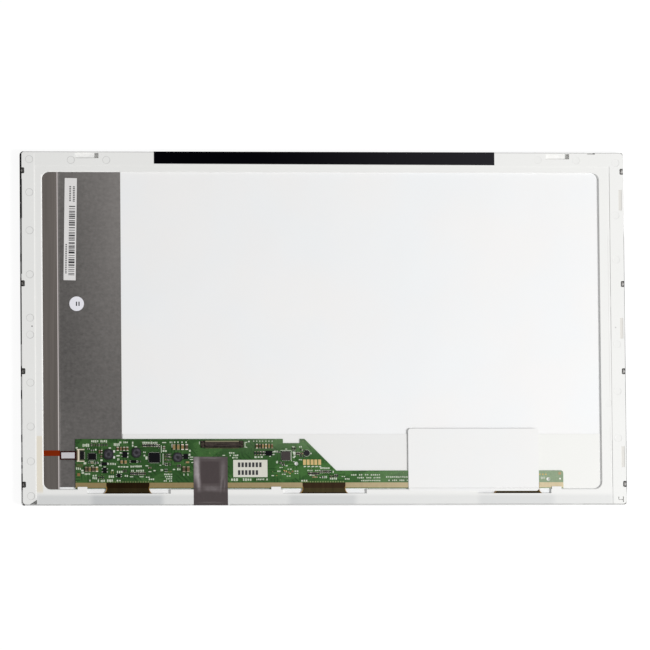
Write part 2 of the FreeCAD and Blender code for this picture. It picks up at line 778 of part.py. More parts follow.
def build_main_frame():
    """White moulded frame: cell pocket, backlight cavity, rear window, rails, clips and hooks."""
    body = new_body("main_frame")
    raise_pad(body, "frame_blank", "bezel_sheet", "band_rear",
              round_outline("-frame_x", "frame_x", "-frame_y", "frame_y", "corner_radius"))
    sink_pocket(body, "cell_pocket", "0", "step_front",
                box_outline("-cell_x", "cell_x", "cell_low", "cell_top"))
    sink_pocket(body, "light_cavity", "0", "flange_front",
                box_outline("light_left", "light_right", "light_low", "light_top"))
    room = "plate_recess_clearance"
    recess_top = f"plate_top + {room}"
    sink_pocket(body, "plate_recess", "0", "plate_rear",
                box_outline("light_left", f"plate_right + {room}", f"plate_low - {room}", recess_top))
    sink_pocket(body, "strip_recess", "0", "tail_rear + tail_recess_room",
                box_outline("light_left", f"riser_right + {room}", f"strip_low - {room}", recess_top))
    sink_pocket(body, "rear_window", "0", "band_rear + band_raise",
                round_outline("window_left", "window_right", "window_low", "window_top", "window_radius"))
    sink_pocket(body, "sunk_rails", "rail_rear", "band_rear",
                box_outline("band_left", "band_right", "-outline_y", "band_top"))
    round_edges(body, "window_bevel_cut", "PartDesign::Chamfer", "Size", "window_bevel",
                edges_at(body, "rail_rear", "outline_x - band_right_width", "window_low", "window_top"))
    sink_pocket(body, "screw_notches", "boss_floor", "band_rear",
                *[screw_notch(side, y) for side in ("-", "") for y in MOUNT_PLACES])
    build_rear_marks(body)
    build_film_way(body)
    hook_top, hook_foot = "board_low + hook_lap", "rail_edge"
    hook_lefts = (
        "board_left + hook_left_inset",
        "film_middle - slot_left_half - hook_middle_gap - hook_width",
        "board_right - hook_right_inset - hook_width",
    )
    raise_pad(body, "board_hooks", "board_top", "rail_rear",
              *[box_outline(left, f"{left} + hook_width", hook_foot, hook_top) for left in hook_lefts])
    half = "clip_length / 2"
    proud = "frame_gap + clip_proud"
    long_clips = [
        box_outline(f"{x} - {half}", f"{x} + {half}", f"{near} - ({proud})", f"{near} + ({proud})")
        for near, places in (("frame_y", CLIP_TOP_PLACES), ("-frame_y", CLIP_LOW_PLACES))
        for x in places
    ]
    side_clips = [
        box_outline(f"{near} - ({proud})", f"{near} + ({proud})", f"{y} - {half}", f"{y} + {half}")
        for near in ("frame_x", "-frame_x")
        for y in CLIP_SIDE_PLACES
    ]
    raise_pad(body, "frame_clips", "clip_foot", "clip_foot + clip_rise", *long_clips, *side_clips)


def build_rear_marks(body):
    """Pockets, grooves and slits on the rear of the frame."""
    pocket_top, pocket_low = "outline_y - pocket_inset", "outline_y - pocket_inset - pocket_height"
    pocket_ends = [(f"{side}pocket_place - pocket_length / 2", f"{side}pocket_place + pocket_length / 2")
                   for side in ("-", "")]
    sink_pocket(body, "clip_pockets", "band_rear - pocket_depth", "band_rear",
                *[box_outline(left, right, pocket_low, pocket_top) for left, right in pocket_ends])
    sink_pocket(body, "clip_wells", "band_rear - pocket_well_depth", "band_rear",
                *[box_outline(f"{right} - pocket_well_length", right, pocket_low, pocket_top)
                  for _, right in pocket_ends])
    slot_right = "outline_x - slot_inset"
    slot_middles = ("slot_spacing", "0", "-slot_spacing")
    sink_pocket(body, "side_slots", "band_rear - slot_depth", "band_rear",
                *[box_outline(f"{slot_right} - slot_width", slot_right, f"{middle} - slot_length / 2",
                              f"{middle} + slot_length / 2") for middle in slot_middles])
    groove_ends = (
        ("groove_upper_break + groove_break / 2", "groove_top"),
        ("groove_lower_break + groove_break / 2", "groove_upper_break - groove_break / 2"),
        ("groove_foot", "groove_lower_break - groove_break / 2"),
        ("groove_low_foot", "groove_low_top"),
    )
    sink_pocket(body, "rail_grooves", "rail_rear - groove_depth", "rail_rear",
                *[box_outline("band_right - groove_width", "band_right", *ends) for ends in groove_ends])
    notch_ends = [f"edge_notch_place {sign} edge_notch_length / 2" for sign in ("-", "+")]
    sink_pocket(body, "edge_notch", "band_rear - edge_notch_floor", "band_rear",
                box_outline(*notch_ends, "frame_y - edge_notch_depth", "outline_y"))
    build_corner_slits(body)
    cut_left, cut_low = "corner_cut_left - outline_x", "-frame_y"
    sink_pocket(body, "corner_cut", "0", "band_rear",
                [(cut_left, cut_low), (f"{cut_left} + corner_cut_run", cut_low),
                 (f"{cut_left} + corner_cut_run", f"{cut_low} + corner_cut_rise")])


def build_corner_slits(body):
    """Three thin slits round the small post in the lower right corner."""
    right, foot = "outline_x - slit_side_inset", "slit_foot_inset - outline_y"
    left, half_reach = f"{right} - slit_post_width", "slit_side_reach / 2"
    sides = (
        box_outline(right, f"{right} + slit_width", f"{foot} - {half_reach}", f"{foot} + {half_reach}"),
        box_outline(left, f"{right} + slit_width / 2", f"{foot} - slit_width", foot),
        box_outline(left, f"{left} + slit_width", f"{foot} - slit_width / 2", f"{foot} + slit_post_height"),
    )
    for name, outline in zip(("side", "foot", "post"), sides):
        sink_pocket(body, f"corner_slit_{name}", "band_rear - slit_depth", "band_rear", outline)


def build_film_way(body):
    """Openings in the bottom rail where the source films leave the board and turn to the glass."""
    sink_pocket(body, "film_slots", "flange_front", "band_rear",
                *[box_outline(*ends, "rail_edge", "window_low + board_foot_gap") for ends in film_slots()])
    channels = [(f"{place} - channel_half", f"{place} + channel_half") for place in FILMS.values()]
    sink_pocket(body, "film_channels", "flange_front", "rail_front",
                *[box_outline(left, right, "wall_low", "rail_edge") for left, right in channels])
    sink_pocket(body, "film_bends", "0", "rail_front",
                *[box_outline(left, right, "-outline_y", "wall_low") for left, right in channels])


def build_cell():
    """Liquid crystal cell: two glasses, two polarisers and the tape that holds it in the frame."""
    polar = (("-polar_x", "polar_x"), ("polar_low", "polar_top"))
    named(block("front_polariser", *polar, ("bezel_sheet", "filter_front")), "front_polariser")
    named(block("colour_filter_glass", ("-filter_x", "filter_x"), ("filter_low", "filter_top"),
                ("filter_front", "array_front")), "colour_filter_glass")
    named(block("array_glass", ("-array_x", "array_x"), ("array_low", "array_top"),
                ("array_front", "cell_rear")), "array_glass")
    named(block("rear_polariser", *polar, ("cell_rear", "cell_rear + polariser_thickness")), "rear_polariser")
    body = new_body("rim_tape")
    inner_x = "(polar_x + rim_tape_gap)"
    raise_pad(body, "tape_ring", "cell_rear", "step_front",
              box_outline("-array_x", "array_x", "array_low", "array_top"),
              box_outline(f"-{inner_x}", inner_x, "polar_low - rim_tape_gap", "polar_top + rim_tape_gap"))


def build_backlight():
    """Optical sheets, light guide and reflector, stacked between the cell and the frame's flange."""
    guide = (("guide_left", "guide_right"), ("guide_low", "guide_top"))
    film = (("guide_left + sheet_inset", "guide_right - sheet_inset"),
            ("guide_low + sheet_inset", "guide_top - sheet_inset"))
    layers = (
        ("upper_diffuser", film, "sheets_front", "upper_prism_front"),
        ("upper_prism_sheet", film, "upper_prism_front", "lower_prism_front"),
        ("lower_prism_sheet", film, "lower_prism_front", "lower_diffuser_front"),
        ("lower_diffuser", film, "lower_diffuser_front", "guide_front"),
        ("light_guide", guide, "guide_front", "reflector_front"),
        ("reflector_sheet", guide, "reflector_front", "flange_front"),
    )
    for label, (xs, ys), front, rear in layers:
        named(block(label, xs, ys, (front, rear)), label)


def build_led_bracket():
    """Folded steel bracket: wall behind the LEDs, narrow strip, joggle and wide heat plate."""
    body = new_body("led_bracket")
    wall_right = "flex_left"
    fold_left, fold_right = "riser_left - plate_sheet", "riser_right - plate_sheet"
    profile = [
        ("bracket_left", "guide_front"),
        (wall_right, "guide_front"),
        (wall_right, "strip_front"),
        (fold_left, "strip_front"),
        (fold_right, "flange_front"),
        ("plate_right", "flange_front"),
        ("plate_right", "plate_rear"),
        ("riser_right", "plate_rear"),
        ("riser_left", "strip_rear"),
        ("bracket_left", "strip_rear"),
    ]
    raise_pad(body, "bracket_profile", "-plate_top", "-strip_low", profile, role="XZ_Plane")
    past_right, past_low = "plate_right + plate_sheet", "strip_low - plate_sheet"
    sink_pocket(body, "plate_foot", "0", "strip_rear",
                box_outline("riser_left", past_right, past_low, "plate_low"))
    slot_low, slot_top = "tail_start_top - tail_width - tail_slot_room", "tail_start_top + tail_slot_room"
    sink_pocket(body, "tail_slot", "strip_front", "strip_rear",
                box_outline("flex_left", "flex_right + tail_slot_width", slot_low, slot_top))


def build_led_flex():
    """LED strip circuit on the bracket wall, with the tail that runs over the strip to its socket."""
    body = new_body("led_flex")
    raise_pad(body, "strip_circuit", "guide_front", "reflector_front",
              box_outline("flex_left", "flex_right", "guide_low", "guide_top"))
    tail_right = "ramp_left"
    bend = [
        ("flex_left", "guide_middle"),
        ("flex_right", "guide_middle"),
        ("flex_right", "strip_rear"),
        (tail_right, "strip_rear"),
        (tail_right, "tail_rear"),
        ("flex_left", "tail_rear"),
    ]
    raise_pad(body, "tail_run", "-tail_start_top", "tail_width - tail_start_top", bend, role="XZ_Plane")
    ramp = [
        ("ramp_left - flex_thickness", "strip_rear"),
        ("ramp_left", "strip_rear"),
        ("ramp_right", "tail_mouth"),
        ("tail_end", "tail_mouth"),
        ("tail_end", "tail_mouth + flex_thickness"),
        ("ramp_right", "tail_mouth + flex_thickness"),
        ("ramp_left", "tail_rear"),
        ("ramp_left - flex_thickness", "tail_rear"),
    ]
    raise_pad(body, "tail_end_run", "-tail_top", "-tail_low", ramp, role="XZ_Plane")
    span = number("guide_top - guide_low - 2 * led_end_margin")
    count = int(span / number("led_pitch")) + 1
    leds = []
    for index in range(count):
        low = f"guide_low + led_end_margin + {index} * led_pitch"
        leds.append(block(f"led_{index}", ("flex_right", "led_right"), (low, f"{low} + led_length"),
                          ("guide_middle - led_height / 2", "guide_middle + led_height / 2")))
    group("led_packages", leds)
    build_tail_patch()


def build_tail_patch():
    """White stiffener on the sloping end of the tail."""
    body = new_body("tail_patch")
    slope = "(tail_mouth - strip_rear) / (ramp_right - ramp_left)"
    left, right = "(ramp_left + patch_inset)", "(ramp_right - patch_inset)"
    low = f"(tail_rear + patch_inset * {slope})"
    high = f"(tail_mouth + flex_thickness - patch_inset * {slope})"
    profile = [
        (left, low),
        (right, high),
        (right, f"{high} + patch_thickness"),
        (left, f"{low} + patch_thickness"),
    ]
    ends = ("patch_inset - tail_top", "-(tail_low + patch_inset)")
    raise_pad(body, "patch_slab", *ends, profile, role="XZ_Plane")


def build_control_board():
    """Stepped control board with its notch, slope and tooling holes, on its insulation film."""
    body = new_body("control_board")
    radius = "board_corner_radius"
    outline = [
        ("board_left", "board_low"),
        ("board_right", "board_low"),
        ("board_right", f"board_thin_top - {radius}", f"board_right - {radius}", 1),
        (f"board_right - {radius}", "board_thin_top"),
        ("board_slope_right", "board_thin_top"),
        ("board_tall_right", "board_tall_top"),
        ("board_notch_right", "board_tall_top"),
        ("board_notch_right", "board_tall_top - board_notch_depth"),
        ("board_notch_left", "board_tall_top - board_notch_depth"),
        ("board_notch_left", "board_tall_top"),
        ("board_left", "board_tall_top"),
    ]
    raise_pad(body, "board_blank", "plate_rear", "board_top", outline)
    hole_right = "board_right - board_hole_right_inset"
    sink_pocket(body, "tooling_holes", "flange_front", "board_top",
                ("board_left + board_hole_place", "board_low + board_hole_rise", "board_hole_radius"),
                (hole_right, "board_low + board_hole_right_rise", "board_hole_radius"))
    film = new_body("insulation_film")
    left, right = "plate_right + film_under_gap", "window_right - film_under_right_gap"
    top, inner = "board_low + film_under_rise", f"{right} - window_radius"
    raise_pad(film, "insulation_blank", "flange_front", "plate_rear",
              [(left, "board_low"), (inner, "board_low", inner, 1), (right, "board_low + window_radius"),
               (right, top), (left, top)])


def build_source_film(side, place):
    """One source film: bonded to the board, down through the rail, round and onto the array glass."""
    body = new_body(f"source_film_{side}")
    profile = [
        ("bond_top", "board_top"),
        ("bond_top", "board_top + film_thickness"),
        ("board_low", "board_top + film_thickness"),
        ("rail_edge", "channel_rear"),
        ("bend_centre", "channel_rear", "bend_centre", 1),
        ("bend_centre", "film_front"),
        ("filter_low - film_ledge_gap", "film_front"),
        ("filter_low - film_ledge_gap", "array_front"),
        ("bend_centre", "array_front", "bend_centre", -1),
        ("bend_centre", "channel_front"),
        ("rail_edge", "channel_front"),
        ("board_low", "board_top"),
    ]
    raise_pad(body, f"{side}_film_run", f"{place} - film_wide_width / 2", f"{place} + film_wide_width / 2",
              profile, role="YZ_Plane")
    sides = []
    top, low = "bond_top + film_bond_length", "(board_low - film_flare_radius)"
    for sign, turn in (("-", -1), ("+", 1)):
        neck = f"{place} {sign} film_width / 2"
        flare = f"{neck} {sign} film_flare_radius"
        outer = f"{place} {sign} film_wide_width"
        loop = [(neck, top), (neck, "board_low", flare, turn), (flare, low), (outer, low), (outer, top)]
        sides.append(loop)
    sink_pocket(body, f"{side}_film_flares", "channel_front - film_thickness", "rail_rear", *sides)


def build_source_films():
    """Three source films, each with its driver chip inside the bend."""
    chips = []
    for side, place in FILMS.items():
        build_source_film(side, place)
        ends = (f"{place} - driver_chip_length / 2", f"{place} + driver_chip_length / 2")
        chips.append(block(f"driver_{side}", ends, ("bend_centre", "bend_centre + driver_chip_width"),
                           ("channel_front - driver_chip_height", "channel_front")))
    group("driver_chips", chips)


def build_tapes():
    """Black tape over the top edge and the grounding tape over the bottom edge."""
    body = new_body("top_tape")
    outer = "outline_y + tape_thickness"
    profile = [
        ("outline_y - top_tape_lap", "band_rear"),
        ("frame_y", "band_rear"),
        ("outline_y", "bezel_wall_top"),
        ("outline_y", "tape_wrap_foot"),
        (outer, "tape_wrap_foot"),
        (outer, "bezel_wall_top + tape_thickness"),
        ("frame_y + tape_thickness", "band_rear + tape_thickness"),
        ("outline_y - top_tape_lap", "band_rear + tape_thickness"),
    ]
    raise_pad(body, "top_tape_run", "-top_tape_left", "top_tape_right", profile, role="YZ_Plane")
    body = new_body("grounding_tape")
    rise = "board_low + ground_tape_rise"
    step_top, step_foot = "window_low + ground_tape_run", "window_low"
    profile = [
        (rise, "board_top"),
        (rise, "board_top + tape_thickness"),
        (step_top, "board_top + tape_thickness"),
        (step_foot, "rail_rear + tape_thickness"),
        ("-(frame_y + tape_thickness)", "rail_rear + tape_thickness"),
        ("-(outline_y + tape_thickness)", "bezel_wall_top + tape_thickness"),
        ("-(outline_y + tape_thickness)", "tape_wrap_foot"),
        ("-outline_y", "tape_wrap_foot"),
        ("-outline_y", "bezel_wall_top"),
        ("-frame_y", "rail_rear"),
        (step_foot, "rail_rear"),
        (step_top, "board_top"),
    ]
    left = "board_left + ground_tape_place"
    raise_pad(body, "grounding_tape_run", left, f"{left} + ground_tape_width", profile, role="YZ_Plane")


def build_labels():
    """Bare labels on the heat plate and the board, and the white cover sheet over the board."""
    on_plate = ("plate_rear", "plate_rear + label_thickness")
    left, top = "riser_right + long_label_place", "window_top - long_label_drop"
    label = block("long_label", (left, f"{left} + long_label_width"), (f"{top} - long_label_length", top),
                  on_plate)
    bind(label, "Placement.Rotation.Angle", "long_label_turn")
    named(label, "long_label")
    disc = doc.addObject("Part::Cylinder", "round_label")
    bind(disc, "Radius", "round_label_radius")
    bind(disc, "Height", "label_thickness")
    bind(disc, "Placement.Base.x", "riser_right + round_label_place")
    bind(disc, "Placement.Base.y", "window_top - round_label_drop")
    bind(disc, "Placement.Base.z", "plate_rear")
    named(disc, "round_label")
    left, low = "board_left + board_label_place", "board_low + board_label_rise"
    named(block("board_label", (left, f"{left} + board_label_width"), (low, f"{low} + board_label_height"),
                ("board_top", "board_top + label_thickness")), "board_label")
    body = new_body("cover_sheet")
    cover_top, step_top = "cover_low + cover_height", "window_low + cover_run"
    profile = [
        (cover_top, "cover_front"),
        (cover_top, "cover_front + cover_thickness"),
        (step_top, "cover_front + cover_thickness"),
        ("window_low", "rail_rear + cover_thickness"),
        ("cover_low", "rail_rear + cover_thickness"),
        ("cover_low", "rail_rear"),
        ("window_low", "rail_rear"),
        (step_top, "cover_front"),
    ]
    raise_pad(body, "cover_sheet_run", "cover_left", "cover_right", profile, role="YZ_Plane")
    corners = []
    for corner, sign, turn in (("cover_left", "+", -1), ("cover_right", "-", 1)):
        inner = f"{corner} {sign} cover_radius"
        for end, way, bend in ((cover_top, "-", turn), ("cover_low", "+", -turn)):
            near = f"{end} {way} cover_radius"
            corners.append([(corner, near, inner, bend), (inner, end), (corner, end)])
    sink_pocket(body, "cover_corners", "board_top", "band_rear + cover_thickness", *corners)


def build_led_socket():
    """Socket of the LED tail: housing, contacts and the flip latch on its two pins."""
    body = new_body("led_socket_housing")
    rear = "board_top + led_socket_height"
    raise_pad(body, "led_housing_blank", "board_top", rear,
              box_outline("led_socket_left", "led_socket_right", "led_socket_low", "led_socket_top"))
    past_right = "led_socket_right + led_contact_tail"
    sink_pocket(body, "latch_bay", "plate_rear", rear,
                box_outline("led_bay_left", past_right, "led_bay_low", "led_bay_top"))
    sink_pocket(body, "tail_mouth_cut", "led_socket_left", "tail_end + latch_clearance",
                box_outline("tail_low - latch_clearance", "tail_top + latch_clearance", "led_mouth_front",
                            "led_mouth_front + led_mouth_height"), role="YZ_Plane")
    bore = "latch_pin_radius + latch_pin_clearance"
    pin_reach = "latch_pin_length + latch_pin_clearance"
    pin_axis = ("latch_pivot", "latch_pivot_height")
    sink_pocket(body, "latch_pin_holes", f"-(led_bay_top + {pin_reach})", f"{pin_reach} - led_bay_low",
                (*pin_axis, bore), role="XZ_Plane")
    latch = new_body("led_socket_latch")
    radius = "latch_thickness / 2"
    front, back = "latch_front", "latch_front + latch_thickness"
    tip = "latch_pivot + latch_reach - latch_thickness / 2"
    outline = [
        ("latch_pivot", front),
        (tip, front),
        (tip, f"{back} - {radius} / 2"),
        (f"{tip} - {radius} / 2", back),
        ("latch_pivot", back, "latch_pivot", 1),
    ]
    raise_pad(latch, "latch_plate", "latch_clearance - led_bay_top", "-(led_bay_low + latch_clearance)",
              outline, role="XZ_Plane")
    raise_pad(latch, "latch_pins", "-(led_bay_top + latch_pin_length)", "latch_pin_length - led_bay_low",
              (*pin_axis, "latch_pin_radius"), role="XZ_Plane")
    contacts = []
    for index in range(LED_CONTACTS):
        middle = f"(led_bay_low + led_bay_top) / 2 + ({index} - {(LED_CONTACTS - 1) / 2}) * led_contact_pitch"
        contacts.append(block(f"led_contact_{index}", ("led_bay_left", past_right),
                              (f"{middle} - led_contact_width / 2", f"{middle} + led_contact_width / 2"),
                              ("board_top", "board_top + led_contact_thickness")))
    group("led_socket_contacts", contacts)


def build_display_socket():
    """Wide display socket: moulded insulator on its contacts, under a folded shell."""
    insulator = new_body("display_socket_housing")
    left, right = "display_left + display_end", "display_left + display_width - display_end"
    low, top = "display_low", "display_low + display_depth"
    inner_rear = "display_rear - display_shell"
    raise_pad(insulator, "display_blank", "display_front", inner_rear, box_outline(left, right, low, top))
    mouth = "(display_front + display_rear - display_shell) / 2"
    half = "display_mouth_height / 2"
    sink_pocket(insulator, "display_mouth", f"-({top})", f"display_mouth_depth - ({top})",
                box_outline(f"{left} + display_shell", f"{right} - display_shell", f"{mouth} - {half}",
                            f"{mouth} + {half}"), role="XZ_Plane")
    shell = new_body("display_socket_shell")
    outer_left, outer_right = "display_left", "display_left + display_width"
    gap = "display_shell_gap"
    fold = [
        (outer_left, "board_top"),
        (f"{left} - {gap}", "board_top"),
        (f"{left} - {gap}", inner_rear),
        (f"{right} + {gap}", inner_rear),
        (f"{right} + {gap}", "board_top"),
        (outer_right, "board_top"),
        (outer_right, "board_top + display_height / 2"),
        (f"{right} + {gap} + display_shell", "board_top + display_height / 2"),
        (f"{right} + {gap} + display_shell", "display_rear"),
        (f"{left} - {gap} - display_shell", "display_rear"),
        (f"{left} - {gap} - display_shell", "board_top + display_height / 2"),
        (outer_left, "board_top + display_height / 2"),
    ]
    raise_pad(shell, "shell_fold", f"-({top})", f"-({low})", fold, role="XZ_Plane")
    contacts = []
    for index in range(DISPLAY_CONTACTS):
        step = index - (DISPLAY_CONTACTS - 1) / 2
        middle = f"display_left + display_width / 2 + ({step}) * display_contact_pitch"
        sides = (f"{middle} - display_contact_width / 2", f"{middle} + display_contact_width / 2")
        contacts.append(block(f"display_contact_{index}", sides, (f"{low} - display_contact_tail", top),
                              ("board_top", "display_front")))
    group("display_socket_contacts", contacts)


def placed(name):
    """Left, right, low and top edge of a package on the board."""
    left, low = f"board_left + {name}_place", f"board_low + {name}_rise"
    return left, f"{left} + {name}_width", low, f"{low} + {name}_depth"


def build_packages():
    """Chip packages with their lead plane and dimple, inductors, coil and small transistors."""
    for name in PACKAGES:
        left, right, low, top = placed(name)
        body = new_body(name)
        rear = f"board_top + {name}_height"
        raise_pad(body, f"{name}_leads", "board_top", "board_top + lead_plane",
                  box_outline(left, right, low, top))
        raise_pad(body, f"{name}_mould", "board_top + lead_plane", rear,
                  box_outline(f"{left} + lead_reach", f"{right} - lead_reach", f"{low} + lead_reach",
                              f"{top} - lead_reach"))
        sink_pocket(body, f"{name}_dimple", f"{rear} - dimple_depth", rear,
                    (f"{left} + dimple_inset", f"{top} - dimple_inset", "dimple_radius"))
    for name in INDUCTORS:
        left, right, low, top = placed(name)
        body = new_body(name)
        rear = f"board_top + {name}_height"
        raise_pad(body, f"{name}_body", "board_top", rear,
                  round_outline(left, right, low, top, "inductor_corner"))
        raise_pad(body, f"{name}_core", rear, f"{rear} + inductor_core_rise",
                  (f"{left} + {name}_width / 2", f"{low} + {name}_depth / 2", "inductor_core_radius"))
    moulded = []
    for name in TRANSISTORS:
        left, right, low, top = placed(name)
        moulded.append(block(name, (left, right), (low, top), ("board_top", f"board_top + {name}_height")))
    group("small_transistors", moulded)
    coil = doc.addObject("Part::Cylinder", "round_coil")
    bind(coil, "Radius", "coil_radius")
    bind(coil, "Height", "coil_height")
    bind(coil, "Placement.Base.x", "board_left + coil_place")
    bind(coil, "Placement.Base.y", "board_low + coil_rise")
    bind(coil, "Placement.Base.z", "board_top")
    named(coil, "round_coil")


def build_chip_rows(label, rows):
    """Rows of like chip parts, gathered in one node."""
    chips = []
    for name in rows:
        for index in range(CHIP_COUNTS[name]):
            x = f"board_left + {name}_place + {index} * {name}_pitch"
            y = f"board_low + {name}_rise"
            chips.append(block(f"{name}_{index}", (f"{x} - {name}_width / 2", f"{x} + {name}_width / 2"),
                               (f"{y} - {name}_length / 2", f"{y} + {name}_length / 2"),
                               ("board_top", f"board_top + {name}_height")))
    group(label, chips)


def check_document():
    """Stop on a failed feature, a pocket that cuts nothing, or a piece without a sound shape."""
    doc.recompute()
    for item in doc.Objects:
        if "Invalid" in item.State or "Error" in item.State:
            raise RuntimeError(f"{item.Name} failed: {item.State}")
        if item.TypeId == "PartDesign::Pocket" and item.Shape.Volume >= item.BaseFeature.Shape.Volume:
            raise RuntimeError(f"{item.Name} cuts nothing")
    for piece in pieces:
        if piece.Shape.isNull() or not piece.Shape.isValid():
            raise RuntimeError(f"{piece.Label} has no sound shape")


build_front_bezel()
build_main_frame()
build_cell()
build_backlight()
build_led_bracket()
build_led_flex()
build_control_board()
build_source_films()
build_tapes()
build_labels()
build_led_socket()
build_display_socket()
build_packages()
build_chip_rows("chip_capacitors", CAPACITOR_ROWS)
build_chip_rows("chip_resistors", RESISTOR_ROWS)
check_document()
os.makedirs("parts", exist_ok=True)
for piece in pieces:
    piece.Shape.exportStep(f"parts/{piece.Label}.step")
    print(f"{piece.Label}: {len(piece.Shape.Solids)} solids, {piece.Shape.Volume:.1f} mm3")
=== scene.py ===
"""Looks of a laptop display panel that lies rear up on a pale floor.

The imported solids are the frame. Every solid that shows gets a finish of its own, and the chip parts,
leads, print and creased tape are surfaces worked out with numpy. Sizes are in millimetres and turn
into metres where a mesh is made or a pattern is read.
"""
import logging
from dataclasses import dataclass, replace
from enum import Enum
from functools import lru_cache, reduce
from typing import Any, Callable, Iterable, Optional, Sequence, Union

import bpy
import numpy as np
from mathutils import Matrix, Quaternion, Vector


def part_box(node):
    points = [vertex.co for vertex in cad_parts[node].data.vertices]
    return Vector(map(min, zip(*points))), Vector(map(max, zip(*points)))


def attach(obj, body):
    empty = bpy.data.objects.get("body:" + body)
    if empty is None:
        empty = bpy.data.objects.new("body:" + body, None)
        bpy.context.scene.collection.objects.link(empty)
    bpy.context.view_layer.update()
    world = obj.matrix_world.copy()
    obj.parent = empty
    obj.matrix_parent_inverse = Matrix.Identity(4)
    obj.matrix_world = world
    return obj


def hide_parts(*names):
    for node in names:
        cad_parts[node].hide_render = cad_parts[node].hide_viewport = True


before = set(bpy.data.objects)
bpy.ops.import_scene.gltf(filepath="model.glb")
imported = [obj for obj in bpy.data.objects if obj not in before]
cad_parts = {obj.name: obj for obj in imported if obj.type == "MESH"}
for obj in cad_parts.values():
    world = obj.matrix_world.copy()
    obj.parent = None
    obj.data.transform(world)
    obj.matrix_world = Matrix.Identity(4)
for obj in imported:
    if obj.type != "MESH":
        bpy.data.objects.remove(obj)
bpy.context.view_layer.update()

MM = 0.001
LOG = logging.getLogger("display_panel")

Colour = tuple[float, float, float]
Place = tuple[float, float]
Limits = tuple[float, float, float]
Number = Union[float, "Value"]


def linear(shown: Colour) -> Colour:
    """Undoes the display curve of a colour written as it looks, 0 to 255.

    Args:
        shown: red, green and blue as they look on a screen.

    Returns:
        The same colour as light values from 0 to 1.
    """
    part = np.asarray(shown, float) / 255
    light = np.where(part <= 0.04045, part / 12.92, ((part + 0.055) / 1.055) ** 2.4)
    return tuple(float(x) for x in light)


# ---------------------------------------------------------------- shader graphs

def operator(operation: str, swapped: bool = False) -> Callable[..., "Value"]:
    """Makes an operator of the socket wrapper.

    Args:
        operation: the Math node's operation.
        swapped: whether the other value comes first.

    Returns:
        A method that puts a value, and another where it is given, through one Math node.
    """
    def method(self: "Value", *other: Number) -> "Value":
        """Puts the values through the node."""
        return self.graph.maths(operation, *((*other, self) if swapped else (self, *other)))
    return method


class Value:
    """A socket of a shader graph that takes part in arithmetic."""

    def __init__(self, graph: "Graph", socket: bpy.types.NodeSocket) -> None:
        """Keeps the graph and its socket."""
        self.graph, self.socket = graph, socket

    __add__ = __radd__ = operator("ADD")
    __mul__ = __rmul__ = operator("MULTIPLY")
    __sub__, __rsub__ = operator("SUBTRACT"), operator("SUBTRACT", swapped=True)
    __truediv__, __abs__ = operator("DIVIDE"), operator("ABSOLUTE")
    __gt__, __lt__ = operator("GREATER_THAN"), operator("LESS_THAN")
    least, most = operator("MINIMUM"), operator("MAXIMUM")


